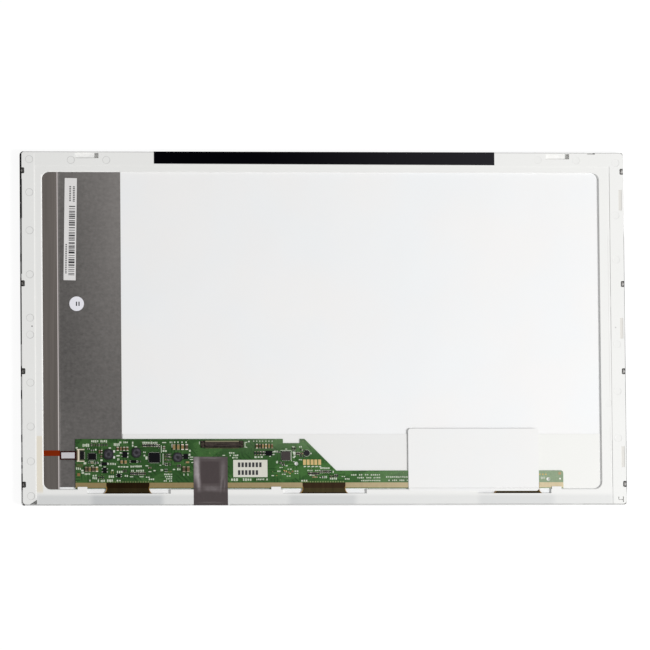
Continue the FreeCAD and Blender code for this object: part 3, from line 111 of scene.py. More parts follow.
class Graph:
    """The nodes of one material or world, made through one method."""

    def __init__(self, tree: bpy.types.NodeTree) -> None:
        """Takes over a node tree."""
        self.tree = tree
        self._place: Optional[Value] = None
        self._axes: tuple[Value, ...] = ()

    def node(self, kind: str, settings: Optional[dict[str, Any]] = None,
             inputs: Optional[dict[Union[str, int], Any]] = None) -> bpy.types.Node:
        """Adds a node.

        Args:
            kind: the node's type.
            settings: properties, set before the sockets.
            inputs: numbers, colours or values by socket name or number.

        Returns:
            The new node.
        """
        made = self.tree.nodes.new(kind)
        for name, setting in (settings or {}).items():
            setattr(made, name, setting)
        for key, given in (inputs or {}).items():
            self.feed(made.inputs[key], given)
        return made

    def feed(self, socket: bpy.types.NodeSocket, given: Any) -> None:
        """Links a value to a socket, or writes a number or colour on it."""
        if isinstance(given, Value):
            self.tree.links.new(given.socket, socket)
        elif socket.type == "RGBA":
            socket.default_value = (*given[:3], 1.0)
        else:
            socket.default_value = given

    def value(self, kind: str, settings: Optional[dict[str, Any]] = None,
              inputs: Optional[dict[Union[str, int], Any]] = None, output: Union[int, str] = 0) -> Value:
        """Adds a node and wraps one of its outputs."""
        return Value(self, self.node(kind, settings, inputs).outputs[output])

    def maths(self, operation: str, *parts: Number) -> Value:
        """Adds a Math node on one or two values."""
        return self.value("ShaderNodeMath", {"operation": operation}, dict(enumerate(parts)))

    def vector(self, operation: str, *parts: Any, output: Union[int, str] = 0) -> Value:
        """Adds a Vector Math node."""
        return self.value("ShaderNodeVectorMath", {"operation": operation}, dict(enumerate(parts)), output)

    def place(self) -> Value:
        """Object coordinates in millimetres."""
        if self._place is None:
            metres = self.value("ShaderNodeTexCoord", output="Object")
            self._place = self.vector("MULTIPLY", metres, (1 / MM,) * 3)
        return self._place

    def axes(self) -> tuple[Value, ...]:
        """Object coordinates in millimetres, one value for each axis."""
        if not self._axes:
            parts = self.node("ShaderNodeSeparateXYZ", None, {0: self.place()}).outputs
            self._axes = tuple(Value(self, part) for part in parts)
        return self._axes

    def nearest(self, places: Iterable[Place]) -> Value:
        """Distance in x and y to the nearest of some places, in millimetres."""
        flat = self.vector("MULTIPLY", self.place(), (1, 1, 0))
        return reduce(Value.least, [self.vector("DISTANCE", flat, (*place, 0.0), output="Value")
                                    for place in places])

    def noise(self, size: float, detail: float = 2.0, stretch: Colour = (1, 1, 1),
              shift: float = 0.0) -> Value:
        """Cloudy noise about nought.

        Args:
            size: width of its spots in millimetres.
            detail: how many finer layers it has.
            stretch: how often it repeats along each axis against the others.
            shift: moves it to other spots.

        Returns:
            A value from about -1 to 1.
        """
        scaled = self.vector("MULTIPLY_ADD", self.place(), tuple(s / size for s in stretch), (shift,) * 3)
        cloud = self.value("ShaderNodeTexNoise", None, {"Vector": scaled, "Scale": 1.0, "Detail": detail})
        return (cloud - 0.5) * 2.4

    def cells(self, size: float, metric: str = "EUCLIDEAN", output: str = "Distance",
              stretch: Colour = (1, 1, 1)) -> Value:
        """Voronoi cells of a size in millimetres: distance to the seed, or one colour a cell."""
        scaled = self.vector("MULTIPLY", self.place(), tuple(s / size for s in stretch))
        return self.value("ShaderNodeTexVoronoi", {"distance": metric},
                          {"Vector": scaled, "Scale": 1.0}, output)

    def step(self, value: Value, start: float, stop: float) -> Value:
        """Smooth rise from nought at start to one at stop."""
        return self.value("ShaderNodeMapRange", {"interpolation_type": "SMOOTHSTEP"},
                          {"Value": value, "From Min": start, "From Max": stop})

    def band(self, value: Value, low: float, high: float, soft: float) -> Value:
        """One between low and high and nought outside, with soft ends."""
        risen, fallen = (self.step(value, end - soft / 2, end + soft / 2) for end in (low, high))
        return risen - fallen

    def bands(self, value: Value, ranges: Iterable[Place], soft: float) -> Value:
        """Sum of bands that lie apart."""
        return sum((self.band(value, *limits, soft) for limits in ranges), 0.0)

    def stripes(self, value: Value, pitch: float, share: float) -> Value:
        """Lines of a pitch along a value: one over a share of each pitch, with soft flanks."""
        phase = self.maths("PINGPONG", value, pitch / 2) / (pitch / 2)
        return self.step(phase, share + 0.18, share - 0.18)

    def mix(self, factor: Number, first: Any, second: Any) -> Value:
        """Mixes two colours: the second by the factor, the first by what it leaves."""
        return self.value("ShaderNodeMix", {"data_type": "RGBA"}, {0: factor, 6: first, 7: second}, 2)

    def toned(self, colour: Any, tone: Number) -> Value:
        """A colour made lighter or darker by a factor."""
        return self.value("ShaderNodeVectorMath", {"operation": "SCALE"}, {0: colour, "Scale": tone})

    def bump(self, height: Value, depth: float) -> Value:
        """Normal of a relief whose height of one is a depth in millimetres."""
        return self.value("ShaderNodeBump", None, {"Height": height, "Distance": depth * MM, "Strength": 1.0})

    def surface(self, sockets: dict[str, Any]) -> None:
        """Feeds the material's shader by socket name."""
        shader = self.tree.nodes["Principled BSDF"]
        for name, given in sockets.items():
            self.feed(shader.inputs[name], given)


# ---------------------------------------------------------------- finishes

class Lay(Enum):
    """Way in which a surface was brushed or its conductors run."""
    ALONG_X = (0.02, 1.0, 1.0)
    ALONG_Y = (1.0, 0.02, 1.0)
    ROUND_ABOUT = (0.6, 0.6, 1.0)


# The board's upper face, the middles of the three source films, and a limit past every edge of the part.
BOARD_TOP = 4.6
FILM_MIDDLES = (-117.1, -0.9, 114.5)
FAR = 400.0


@dataclass(frozen=True)
class Tint:
    """A colour laid over a place: the product of soft bands along the axes that have limits."""
    colour: Colour
    share: float = 1.0
    x: Optional[Limits] = None
    y: Optional[Limits] = None
    z: Optional[Limits] = None

    def over(self, graph: Graph, colour: Value) -> Value:
        """Mixes the tint into a colour.

        Args:
            graph: the material's nodes.
            colour: the colour under the tint.

        Returns:
            The tinted colour.
        """
        part: Number = self.share
        for value, limits in zip(graph.axes(), (self.x, self.y, self.z)):
            if limits:
                part = graph.band(value, *limits) * part
        return graph.mix(part, colour, linear(self.colour))


@dataclass(frozen=True)
class Finish:
    """A finish with a soft cloud of tone, a fine grain and tints laid over it in their order.

    The tone is one plus a share of cloudy noise, and the grain is finer noise taken as relief.
    """
    name: str
    colour: Colour
    roughness: float = 0.5
    metallic: float = 0.0
    coat: float = 0.0
    cloud: float = 0.03
    cloud_size: float = 12.0
    grain: float = 0.01
    grain_size: float = 0.3
    specular: float = 0.5
    tints: tuple[Tint, ...] = ()

    def paint(self, graph: Graph) -> dict[str, Any]:
        """Works out the shader's sockets, without the tints.

        Args:
            graph: the material's nodes.

        Returns:
            Values by socket name.
        """
        tone = 1 + self.cloud * graph.noise(self.cloud_size, 3.0)
        fine = graph.noise(self.grain_size, 2.0)
        return {
            "Base Color": graph.toned(linear(self.colour), tone),
            "Roughness": self.roughness + 0.06 * fine,
            "Metallic": self.metallic,
            "Coat Weight": self.coat,
            "Specular IOR Level": self.specular,
            "Normal": graph.bump(fine, self.grain),
        }

    def sockets(self, graph: Graph) -> dict[str, Any]:
        """Sockets of the painted shader, with the tints laid over its colour."""
        sockets = self.paint(graph)
        for tint in self.tints:
            sockets["Base Color"] = tint.over(graph, sockets["Base Color"])
        return sockets


@dataclass(frozen=True)
class FramePlastic(Finish):
    """White moulded plastic: ejector rings and pin dots in painted shade, a cream strip, greyed rails and a
    faint painted shade line beside the right groove.
    """
    marks: tuple[Place, ...] = ()
    low_mark: Place = (168.9, -44.6)
    ring_radius: float = 2.3
    ring_width: float = 0.28
    ring_fade: Place = (-60.0, 100.0)
    pins: tuple[tuple[Place, float], ...] = (((-173.2, 1.0), 0.75), ((173.8, 0.5), 0.3))
    pin_radius: float = 0.45
    land: Place = (4.93, 4.99)
    cream: Colour = (225, 217, 200)
    cream_sides: Limits = (-170.9, -167.2, 0.5)
    cream_head: Place = (-63.5, -64.3)
    cream_foot: Place = (-98.5, -96.0)
    greyed: Colour = (190, 192, 193)
    rail_edge: Place = (-97.4, -100.2)
    rail_land: Place = (4.85, 4.95)
    rail_soft: float = 5.0
    rail_tones: tuple[Limits, ...] = (
        (-171.5, -138.5, 0.57), (-138.5, -96.5, 1.0), (-96.5, -21.5, 0.38), (-21.5, 18.0, 0.72),
        (18.0, 91.0, 0.3), (91.0, 136.0, 0.56), (136.0, 171.0, 0.3))
    groove_shade_sides: Limits = (169.65, 170.05, 0.2)
    groove_shade_ends: Limits = (-95.0, 93.0, 1.0)
    bump_depth: float = 0.12

    def paint(self, graph: Graph) -> dict[str, Any]:
        """Adds to the plain finish rings and dots at the marks in painted shade, and tones by place and
        height.
        """
        sockets = super().paint(graph)
        x, y, z = graph.axes()
        # Painted shade: the ejector rings, their sunk middles and the pin dots are darkened, the rings less
        # towards the right.
        near = graph.nearest((*self.marks, self.low_mark))
        land = graph.step(z, *self.land)
        ring = graph.band(near, self.ring_radius - self.ring_width, self.ring_radius, 0.2) * land
        dish = graph.step(near, self.ring_radius, self.ring_radius - 0.4) * land
        wear_and_painted_light = ring * (0.65 + 0.5 * graph.noise(5.0)) * (0.4 - 0.33 * graph.step(x, *self.ring_fade))
        shade = wear_and_painted_light + 0.012 * dish
        for pin, depth in self.pins:
            dot = graph.step(graph.nearest((pin,)), self.pin_radius + 0.12, self.pin_radius - 0.12)
            shade = shade + depth * dot * land
        strip = graph.band(x, *self.cream_sides) * graph.step(y, *self.cream_head)
        strip = strip * graph.step(y, *self.cream_foot)
        colour = graph.mix(strip * 0.85, sockets["Base Color"], linear(self.cream))
        on_rail = graph.step(y, *self.rail_edge) * graph.step(z, *self.rail_land)
        tones = sum((graph.band(x, low, high, self.rail_soft) * share
                     for low, high, share in self.rail_tones), 0.0)
        colour = graph.mix(on_rail * tones, colour, linear(self.greyed))
        # Painted shade: a thin dark line beside the right groove, broken up along its length.
        groove_shade_line = graph.band(x, *self.groove_shade_sides) * graph.band(y, *self.groove_shade_ends)
        shade = shade + 0.12 * groove_shade_line * graph.step(graph.noise(26.0, 1.0, shift=3.3), -0.3, 0.3)
        sockets["Base Color"] = graph.toned(colour, 1 - shade)
        relief = graph.noise(self.grain_size, 2.0) * 0.02 - 0.35 * dish
        sockets["Normal"] = graph.bump(relief, self.bump_depth)
        return sockets


@dataclass(frozen=True)
class BrushedMetal(Finish):
    """Metal with brush lines: noise drawn out along the brushing changes its tone and roughness."""
    lay: Lay = Lay.ALONG_Y
    streak: float = 0.08

    def paint(self, graph: Graph) -> dict[str, Any]:
        """Adds brush lines to the plain finish."""
        sockets = super().paint(graph)
        lines = graph.noise(0.22, 3.0, self.lay.value) * 0.6 + graph.noise(1.1, 2.0, self.lay.value) * 0.4
        sockets["Base Color"] = graph.toned(sockets["Base Color"], 1 + self.streak * lines)
        sockets["Roughness"] = self.roughness + 0.1 * lines
        sockets["Normal"] = graph.bump(lines, self.grain)
        return sockets


@dataclass(frozen=True)
class ShadedWallSteel(BrushedMetal):
    """Pale plated sheet: near-black painted shade on its left wall, a dull right rim and dull screw bosses.
    """
    left_shade: Colour = (22, 21, 21)
    wall: float = -179.58
    rim: float = -179.12
    edge_soft: float = 0.04
    upper_shade_ends: Place = (-22.0, -4.0)
    boss_left: Colour = (118, 116, 114)
    boss_right: Colour = (176, 174, 172)
    boss_sides: Limits = (178.0, 179.12, 0.04)
    dull: Colour = (132, 132, 132)
    dull_side: Place = (179.1, 179.2)
    dull_ends: Limits = (-98.0, 56.0, 6.0)
    run_soft: float = 0.7
    runs: tuple[Place, ...] = (
        (84.4, 104.0), (74.4, 83.9), (64.8, 73.9), (39.2, 43.9), (-9.7, 29.8), (-28.8, -22.4), (-41.8, -36.6),
        (-67.5, -62.8), (-79.2, -76.3), (-83.0, -81.0), (-95.8, -86.0))

    def paint(self, graph: Graph) -> dict[str, Any]:
        """Adds to brushed metal the painted shade, which covers the left wall and in runs also the rim."""
        sockets = super().paint(graph)
        x, y, _ = graph.axes()
        on_wall, on_rim = (graph.step(x, edge + self.edge_soft, edge - self.edge_soft)
                           for edge in (self.wall, self.rim))
        # Painted shade: the left wall faces away from the light and is near black, fully above and less lower
        # down, and in runs the rim is too.
        upper_shade = graph.step(y + 14.0 * graph.noise(7.0, 1.0, (0.01, 1.0, 0.01)), *self.upper_shade_ends)
        in_runs = on_rim * graph.bands(y, self.runs, self.run_soft)
        left_shade_share = in_runs.most(on_wall * (0.45 + 0.55 * upper_shade))
        boss = graph.mix(x > 0.0, linear(self.boss_left), linear(self.boss_right))
        colour = graph.mix(graph.band(abs(x), *self.boss_sides), sockets["Base Color"], boss)
        dulled = graph.step(x, *self.dull_side) * graph.band(y, *self.dull_ends)
        colour = graph.mix(dulled * (0.8 + 0.3 * graph.noise(9.0, 1.0)), colour, linear(self.dull))
        sockets["Base Color"] = graph.mix(left_shade_share, colour, linear(self.left_shade))
        sockets["Metallic"] = self.metallic * (1 - left_shade_share)
        return sockets


@dataclass(frozen=True)
class HeatPlate(BrushedMetal):
    """Grey sheet aluminium: a raised strip, a painted highlight at its step to the plate, and a mottled plate
    that darkens downwards and carries painted light and shade.
    """
    strip: Colour = (101, 95, 91)
    bend_highlight: Colour = (196, 188, 187)
    bend_left: float = -158.1
    bend_right: float = -157.55
    right: float = -121.0
    ends: Place = (-94.0, 92.5)
    hollow_sides: Place = (-120.0, -158.0)
    hollow_ends: Limits = (-42.0, 76.0, 40.0)
    lit_sides: Place = (-134.0, -120.0)
    lit_ends: Place = (0.0, 60.0)

    def paint(self, graph: Graph) -> dict[str, Any]:
        """Adds the strip's streaks, the step's painted highlight, mottling, scratches, the fall in tone, and
        painted light and shade on the plate.
        """
        sockets = super().paint(graph)
        x, y, _ = graph.axes()
        fall = graph.step(y, *self.ends)
        across = graph.step(x, self.bend_right, self.right)
        speck = graph.step(graph.noise(0.9, 1.0, (1, 1, 1), 7.3), 0.55, 0.8)
        scratch = graph.step(graph.noise(0.5, 1.0, (1.0, 0.03, 1.0), 3.1), 0.62, 0.75)
        scratch = scratch * graph.step(graph.noise(18.0, 1.0), 0.1, 0.5)
        mottle = 0.6 * graph.noise(1.3, 2.0, (0.75, 1, 0.1), 1.3)
        mottle = mottle + 0.4 * graph.noise(2.6, 2.0, (1, 1, 0.1), 5.1)
        hollow = graph.step(x, *self.hollow_sides) * graph.band(y, *self.hollow_ends)
        lit = graph.step(x, *self.lit_sides) * graph.step(y, *self.lit_ends)
        on_strip = graph.step(x, self.bend_left + 0.1, self.bend_left - 0.1)
        # Painted light and shade: the plate grows lighter towards the right and in the lit patch, and darker
        # towards its left over the middle of its height.
        tone = 0.72 + 0.19 * fall + 0.26 * across * fall + 0.10 * scratch + 0.06 * speck
        tone = tone + (0.28 * mottle - 0.19 * hollow + 0.12 * lit) * (1 - on_strip)
        streaks = 0.22 * graph.noise(1.0, 2.0, self.lay.value, 2.2)
        streaks = streaks + 0.16 * graph.noise(2.8, 1.0, self.lay.value, 6.1)
        streaked = graph.toned(linear(self.strip), 1.04 + streaks)
        metal = graph.toned(graph.mix(on_strip, sockets["Base Color"], streaked), tone)
        # Painted highlight along the step from the strip to the plate.
        on_bend_highlight = graph.band(x, self.bend_left, self.bend_right, 0.15)
        sockets["Base Color"] = graph.mix(on_bend_highlight, metal, linear(self.bend_highlight))
        sockets["Metallic"] = self.metallic * (1 - on_bend_highlight)
        return sockets


@dataclass(frozen=True)
class Film(Finish):
    """Smooth plastic film: slow waves as relief, and patches that lean to one of two tints."""
    warm: Colour = (240, 234, 232)
    cool: Colour = (230, 236, 243)
    mottle: float = 0.25
    wave: float = 0.15
    wave_size: float = 45.0

    def paint(self, graph: Graph) -> dict[str, Any]:
        """Adds tinted patches and slow waves to the plain finish."""
        sockets = super().paint(graph)
        patch = graph.noise(self.wave_size, 2.0, shift=4.2)
        tinted = graph.mix(graph.step(patch, -0.6, 0.6), linear(self.cool), linear(self.warm))
        sockets["Base Color"] = graph.mix(self.mottle, sockets["Base Color"], tinted)
        slow = graph.noise(self.wave_size, 1.0)
        sockets["Normal"] = graph.bump(slow + 0.01 * graph.noise(self.grain_size, 1.0), self.wave)
        return sockets


@dataclass(frozen=True)
class TracedFilm(Finish):
    """Polyimide film over copper: lines of a pitch lie under the film, and bare edges show brighter."""
    line: Colour = (120, 84, 40)
    lay: Lay = Lay.ALONG_Y
    pitch: float = 0.5
    share: float = 0.5
    show: float = 0.3
    edge: Colour = (150, 112, 48)
    paler: Optional[Colour] = None
    paler_run: Place = (-130.0, 20.0)
    slope_highlight: Optional[Colour] = None
    slope: Limits = (-97.3, -94.7, 0.4)
    slope_run: Place = (-110.0, 10.0)
    under: Limits = (-98.5, -97.3, 0.3)
    flares: tuple[Place, ...] = ()
    flare_radius: float = 3.2

    def paint(self, graph: Graph) -> dict[str, Any]:
        """Adds conductor lines, a paler run, painted light and shade about the slope, and gold round the
        flares, where these are given, to the plain finish.
        """
        sockets = super().paint(graph)
        x, y, _ = graph.axes()
        lines = graph.stripes(x if self.lay is Lay.ALONG_Y else y, self.pitch, self.share)
        colour = graph.mix(lines * self.show, sockets["Base Color"], linear(self.line))
        if self.paler:
            colour = graph.mix(graph.step(x, *self.paler_run), colour, linear(self.paler))
        # Painted light and shade where a slope colour is given: a highlight on the film's slope down the
        # edge, stronger towards the right, and shade in the band below it.
        if self.slope_highlight:
            slope = graph.band(y, *self.slope) * (0.2 + 0.45 * graph.step(x, *self.slope_run))
            colour = graph.mix(slope, colour, linear(self.slope_highlight))
            streaks = graph.noise(2.4, 2.0, (1.0, 0.1, 0.1), 2.6)
            colour = graph.toned(colour, 1 + 0.3 * streaks - 0.35 * graph.band(y, *self.under))
        if self.flares:
            rim = graph.step(graph.nearest(self.flares), self.flare_radius + 0.5, self.flare_radius + 0.2)
            colour = graph.mix(rim, colour, linear(self.edge))
        sockets["Base Color"] = colour
        sockets["Normal"] = graph.bump(lines + 0.3 * graph.noise(6.0), 0.012)
        return sockets


@dataclass(frozen=True)
class SolderMask(Finish):
    """Green solder mask: cells pick copper fields and runs of traces, with vias and a bare tan rim strip."""
    copper: Colour = (66, 106, 54)
    bare: Colour = (26, 58, 24)
    pale_green: Colour = (138, 154, 128)
    tan: Colour = (138, 121, 84)
    tan_right: Colour = (208, 193, 160)
    via: Colour = (140, 148, 100)
    strip: Limits = (-94.55, -91.5, 0.12)
    top: Place = (4.53, 4.57)
    films: tuple[float, ...] = FILM_MIDDLES
    film_half: float = 12.4
    pad_row: Limits = (-91.4, -90.7, 0.2)
    tan_run: Place = (-110.0, 170.0)
    pale_run: Place = (0.0, 132.0)
    pale_patch_rise: Place = (-79.0, -66.0)
    pale_patch_run: Place = (-90.0, -10.0)
    tone_run: Place = (-125.0, 60.0)

    def paint(self, graph: Graph) -> dict[str, Any]:
        """Adds traces, copper fields, vias and the strip to the plain finish.

        Cells about 9 mm wide each take one of three trace directions. Lines about 2 mm apart show where
        a slower noise leaves room, and copper fields show where another noise is high.
        """
        sockets = super().paint(graph)
        x, y, z = graph.axes()
        pick = graph.value("ShaderNodeSeparateColor", None, {
            0: graph.cells(9.0, "CHEBYCHEV", "Color", (1.0, 1.3, 0.01))})
        level = graph.stripes(y, 1.7, 0.3) * (pick < 0.36)
        upright = graph.stripes(x, 1.9, 0.3) * (pick > 0.36) * (pick < 0.68)
        slanting = graph.stripes((x + y) * 0.7071, 2.1, 0.3) * (pick > 0.68)
        room = graph.step(graph.noise(6.0, 1.0, shift=2.0), -0.15, 0.2)
        traces = (level + upright + slanting) * room
        field_of = graph.step(graph.noise(14.0, 1.0, (1.0, 1.6, 1.0), 9.0), 0.0, 0.12)
        seeds = graph.cells(2.6, stretch=(1.0, 1.0, 0.0))
        ring = graph.band(seeds, 0.05, 0.11, 0.03) * graph.step(graph.noise(9.0, 1.0, shift=5.0), 0.05, 0.2)
        bonds = graph.bands(x, [(film - self.film_half, film + self.film_half) for film in self.films], 0.2)
        pads = bonds * graph.band(y, *self.pad_row) * graph.stripes(x, 1.5, 0.45)
        # The board is mixed a little towards pale green in its upper part from the middle on, and strongly
        # towards the right end, and its tone rises from left to right.
        pale_patch = 0.24 * graph.step(y, *self.pale_patch_rise) * graph.step(x, *self.pale_patch_run)
        colour = sockets["Base Color"]
        pale = pale_patch.most(0.9 * graph.step(x, *self.pale_run))
        for share, shown in ((field_of * 0.7, self.copper), (traces * 0.75, self.bare),
                             (ring * 0.7, self.via), (pads * 0.8, self.via), (pale, self.pale_green)):
            colour = graph.mix(share, colour, linear(shown))
        flecks = graph.noise(0.7, 2.0, (1, 1, 0.1), 3.7) * 0.5 + graph.noise(2.0, 2.0, (1, 1, 0.1), 8.2) * 0.5
        tone = 0.78 + 0.34 * graph.step(x, *self.tone_run) + 0.3 * flecks
        strip = graph.band(y, *self.strip) * graph.step(z, *self.top)
        tan = graph.toned(graph.mix(graph.step(x, *self.tan_run), linear(self.tan), linear(self.tan_right)),
                          1 + 0.09 * graph.noise(2.0, 2.0) + 0.08 * graph.noise(0.3, 1.0))
        sockets["Base Color"] = graph.mix(strip, graph.toned(colour, tone), tan)
        sockets["Coat Weight"] = self.coat * (1 - strip)
        relief = traces * 0.5 + field_of * 0.5 + ring * 0.6 - strip * 0.8
        sockets["Normal"] = graph.bump(relief + 0.05 * graph.noise(0.4), 0.03)
        return sockets


@dataclass(frozen=True)
class ShellMetal(BrushedMetal):
    """Plated shell of the display socket: darker end blocks and a pale contact ledge along its mouth."""
    ledge: Colour = (126, 122, 98)
    ends: Colour = (48, 42, 37)
    ledge_edge: Place = (-67.56, -67.44)
    inner: Limits = (-71.1, -51.3, 0.15)
    roll: Limits = (-69.7, -68.3, 0.7)
    foot: Place = (-69.7, -70.4)
    latch_sides: Limits = (-64.6, -58.2, 0.4)
    latch_ends: Limits = (-69.2, -68.7, 0.3)

    def paint(self, graph: Graph) -> dict[str, Any]:
        """Adds the ledge, the end blocks and painted light and shade on the lip to brushed metal."""
        sockets = super().paint(graph)
        x, y, _ = graph.axes()
        inside = graph.band(x, *self.inner)
        fleck = graph.noise(0.9, 2.0, shift=1.7)
        along = graph.noise(1.2, 2.0, (0.35, 1.0, 1.0), 2.4)
        # Painted highlight along the rolled lip, and painted shade below its foot.
        rolled = 0.3 * graph.band(y, *self.roll) - 0.4 * graph.step(y, *self.foot)
        latched = graph.band(x, *self.latch_sides) * graph.band(y, *self.latch_ends)
        base = graph.toned(sockets["Base Color"], 0.95 + 0.5 * fleck + 0.7 * along + rolled)
        base = graph.toned(base, 1 - 0.55 * latched)
        base = graph.mix(1 - inside, base, graph.toned(linear(self.ends), (1 + 2.6 * fleck).most(0.15)))
        ledge = inside * graph.step(y, *self.ledge_edge)
        sockets["Base Color"] = graph.mix(ledge, base, linear(self.ledge))
        sockets["Metallic"] = self.metallic * (1 - ledge)
        return sockets


@dataclass(frozen=True)
class ParcelTape(Film):
    """Grey conductive tape: a dark pressed field in its middle and painted highlights on the creases where it
    was folded.
    """
    fold: Colour = (178, 171, 173)
    pressed: Colour = (58, 49, 50)
    field_sides: Limits = (-74.0, -63.2, 0.8)
    field_ends: Limits = (-92.0, -79.0, 0.8)
    lower: Place = (-96.6, -97.8)
    creases: tuple[tuple[Place, Place, float, float], ...] = (
        ((-76.6, -72.0), (-76.3, -94.0), 2.6, 0.68), ((-75.8, -84.0), (-74.8, -98.5), 1.9, 0.36),
        ((-75.0, -94.6), (-60.0, -95.4), 2.4, 0.18), ((-61.2, -85.0), (-62.6, -99.0), 1.0, 0.16),
        ((-59.4, -88.0), (-60.4, -98.0), 0.7, 0.14), ((-60.6, -76.0), (-61.0, -93.0), 2.2, 0.14),
        ((-78.0, -76.7), (-59.0, -77.0), 0.9, 0.14), ((-77.8, -103.2), (-58.4, -103.2), 0.5, 0.12))

    def crease(self, graph: Graph, start: Place, end: Place, width: float) -> Value:
        """A soft line from one place to another: nearness to it times a share along it."""
        x, y, _ = graph.axes()
        run = np.subtract(end, start)
        length = float(np.hypot(*run))
        u, v = (float(part) for part in run / length)
        across = (x - start[0]) * -v + (y - start[1]) * u + 0.3 * graph.noise(5.0, 2.0)
        along = (x - start[0]) * u + (y - start[1]) * v
        run_out = graph.band(along, length * 0.2, length * 0.8, length * 0.4)
        return graph.step(abs(across), width, 0.0) * run_out

    def paint(self, graph: Graph) -> dict[str, Any]:
        """Adds the pressed field, painted highlights on the creases and fine wrinkles to film."""
        sockets = super().paint(graph)
        x, y, _ = graph.axes()
        wavy = y + 0.4 * graph.noise(6.0, 2.0)
        field_of = graph.band(x, *self.field_sides) * graph.band(wavy, *self.field_ends)
        lower = 1 - 0.2 * graph.step(wavy, *self.lower)
        colour = graph.mix(field_of * 0.75, graph.toned(sockets["Base Color"], lower), linear(self.pressed))
        # Painted highlights: each crease is mixed towards the pale fold colour.
        for start, end, width, share in self.creases:
            wear_and_painted_light = self.crease(graph, start, end, width) * share * (1 + 0.3 * graph.noise(2.2, 2.0))
            colour = graph.mix(wear_and_painted_light.most(0.0), colour, linear(self.fold))
        sockets["Base Color"] = colour
        wrinkle = graph.noise(2.5, 3.0, (1.0, 0.5, 1.0)) * 0.5 + graph.noise(0.5, 2.0) * 0.12
        sockets["Normal"] = graph.bump(wrinkle, 0.08)
        return sockets


@dataclass(frozen=True)
class FlexTail(TracedFilm):
    """LED flex: an orange narrow tail and a maroon wide end over its stiffener."""
    wide: Colour = (45, 15, 15)
    wide_from: float = -157.15

    def paint(self, graph: Graph) -> dict[str, Any]:
        """Adds the wide end's colour to traced film."""
        sockets = super().paint(graph)
        x, _, _ = graph.axes()
        wide = graph.step(x, self.wide_from - 0.25, self.wide_from + 0.25)
        sockets["Base Color"] = graph.mix(wide, sockets["Base Color"], graph.toned(
            linear(self.wide), 1 + 0.25 * graph.noise(1.5)))
        return sockets


@dataclass(frozen=True)
class Drums(Finish):
    """Ferrite drums: a paler ring of wear on each top, with a dark core and scuffs in it."""
    drums: tuple[Place, ...] = ()
    core_radius: float = 1.0
    ring_radius: float = 2.3
    wear_and_painted_light: Colour = (82, 80, 86)

    def paint(self, graph: Graph) -> dict[str, Any]:
        """Adds the rings to the plain finish."""
        sockets = super().paint(graph)
        ragged = graph.nearest(self.drums) + 0.35 * graph.noise(1.3, 2.0)
        core = graph.band(ragged, self.core_radius, self.ring_radius, 0.8)
        scuffs = graph.step(graph.noise(0.9, 2.0, shift=4.4), -0.3, 0.5)
        wear_and_painted_light = core * (0.35 + 0.65 * scuffs)
        sockets["Base Color"] = graph.mix(wear_and_painted_light, sockets["Base Color"], linear(self.wear_and_painted_light))
        return sockets


@dataclass(frozen=True)
class Paper(Finish):
    """Coated label paper: short fibres as relief and a faint speckle of tone."""

    def paint(self, graph: Graph) -> dict[str, Any]:
        """Adds fibres to the plain finish."""
        sockets = super().paint(graph)
        level = graph.noise(0.35, 3.0, (0.25, 1.0, 1.0), 6.0)
        fibre = 0.5 * (graph.noise(0.35, 3.0, (1.0, 0.25, 1.0)) + level)
        sockets["Base Color"] = graph.toned(sockets["Base Color"], 1 + 0.025 * fibre)
        sockets["Normal"] = graph.bump(fibre, 0.006)
        return sockets


@dataclass(frozen=True)
class Tinted(Finish):
    """Small parts whose colour and metal share come from the mesh's own attributes."""

    def paint(self, graph: Graph) -> dict[str, Any]:
        """Reads tint and metal and adds the plain finish's cloud and grain."""
        sockets = super().paint(graph)
        tint = graph.value("ShaderNodeAttribute", {"attribute_name": "tint"}, output="Color")
        metal = graph.value("ShaderNodeAttribute", {"attribute_name": "metal"}, output="Fac")
        sockets["Base Color"] = graph.toned(tint, 1 + self.cloud * graph.noise(self.cloud_size, 3.0))
        sockets["Metallic"] = metal * self.metallic
        sockets["Roughness"] = self.roughness - 0.18 * metal + 0.05 * graph.noise(self.grain_size)
        return sockets


# Middles of the rings that ejector pins leave on the frame.
MOULD_MARKS: tuple[Place, ...] = (
    *((-174.3, y) for y in (100.0, 80.4, 57.8, 31.7, 6.0, -4.0, -32.4, -58.3, -78.9, -99.4)),
    (-149.6, 99.6), (-128.6, 99.6), (128.4, 100.2), (151.4, 100.0), (175.0, 98.6),
    *((174.7, y) for y in (67.3, 40.8, -9.6, -37.5, -65.4)),
)
# Moulded edges that catch the light: left, right, lower and upper limit, and share.
LIT_EDGES = (
    (-171.7, -171.1, -101.0, 103.5, 0.5), (-167.6, -166.6, -93.0, 91.0, 0.9),
    (-163.0, -121.0, 92.3, 93.1, 0.6), (-146.3, -138.5, 101.7, 104.2, 0.5),
    (-138.5, -135.4, 102.2, 104.2, 0.3), (133.6, 141.5, 100.5, 103.0, 0.5), (141.5, 144.5, 100.9, 103.0, 0.3))
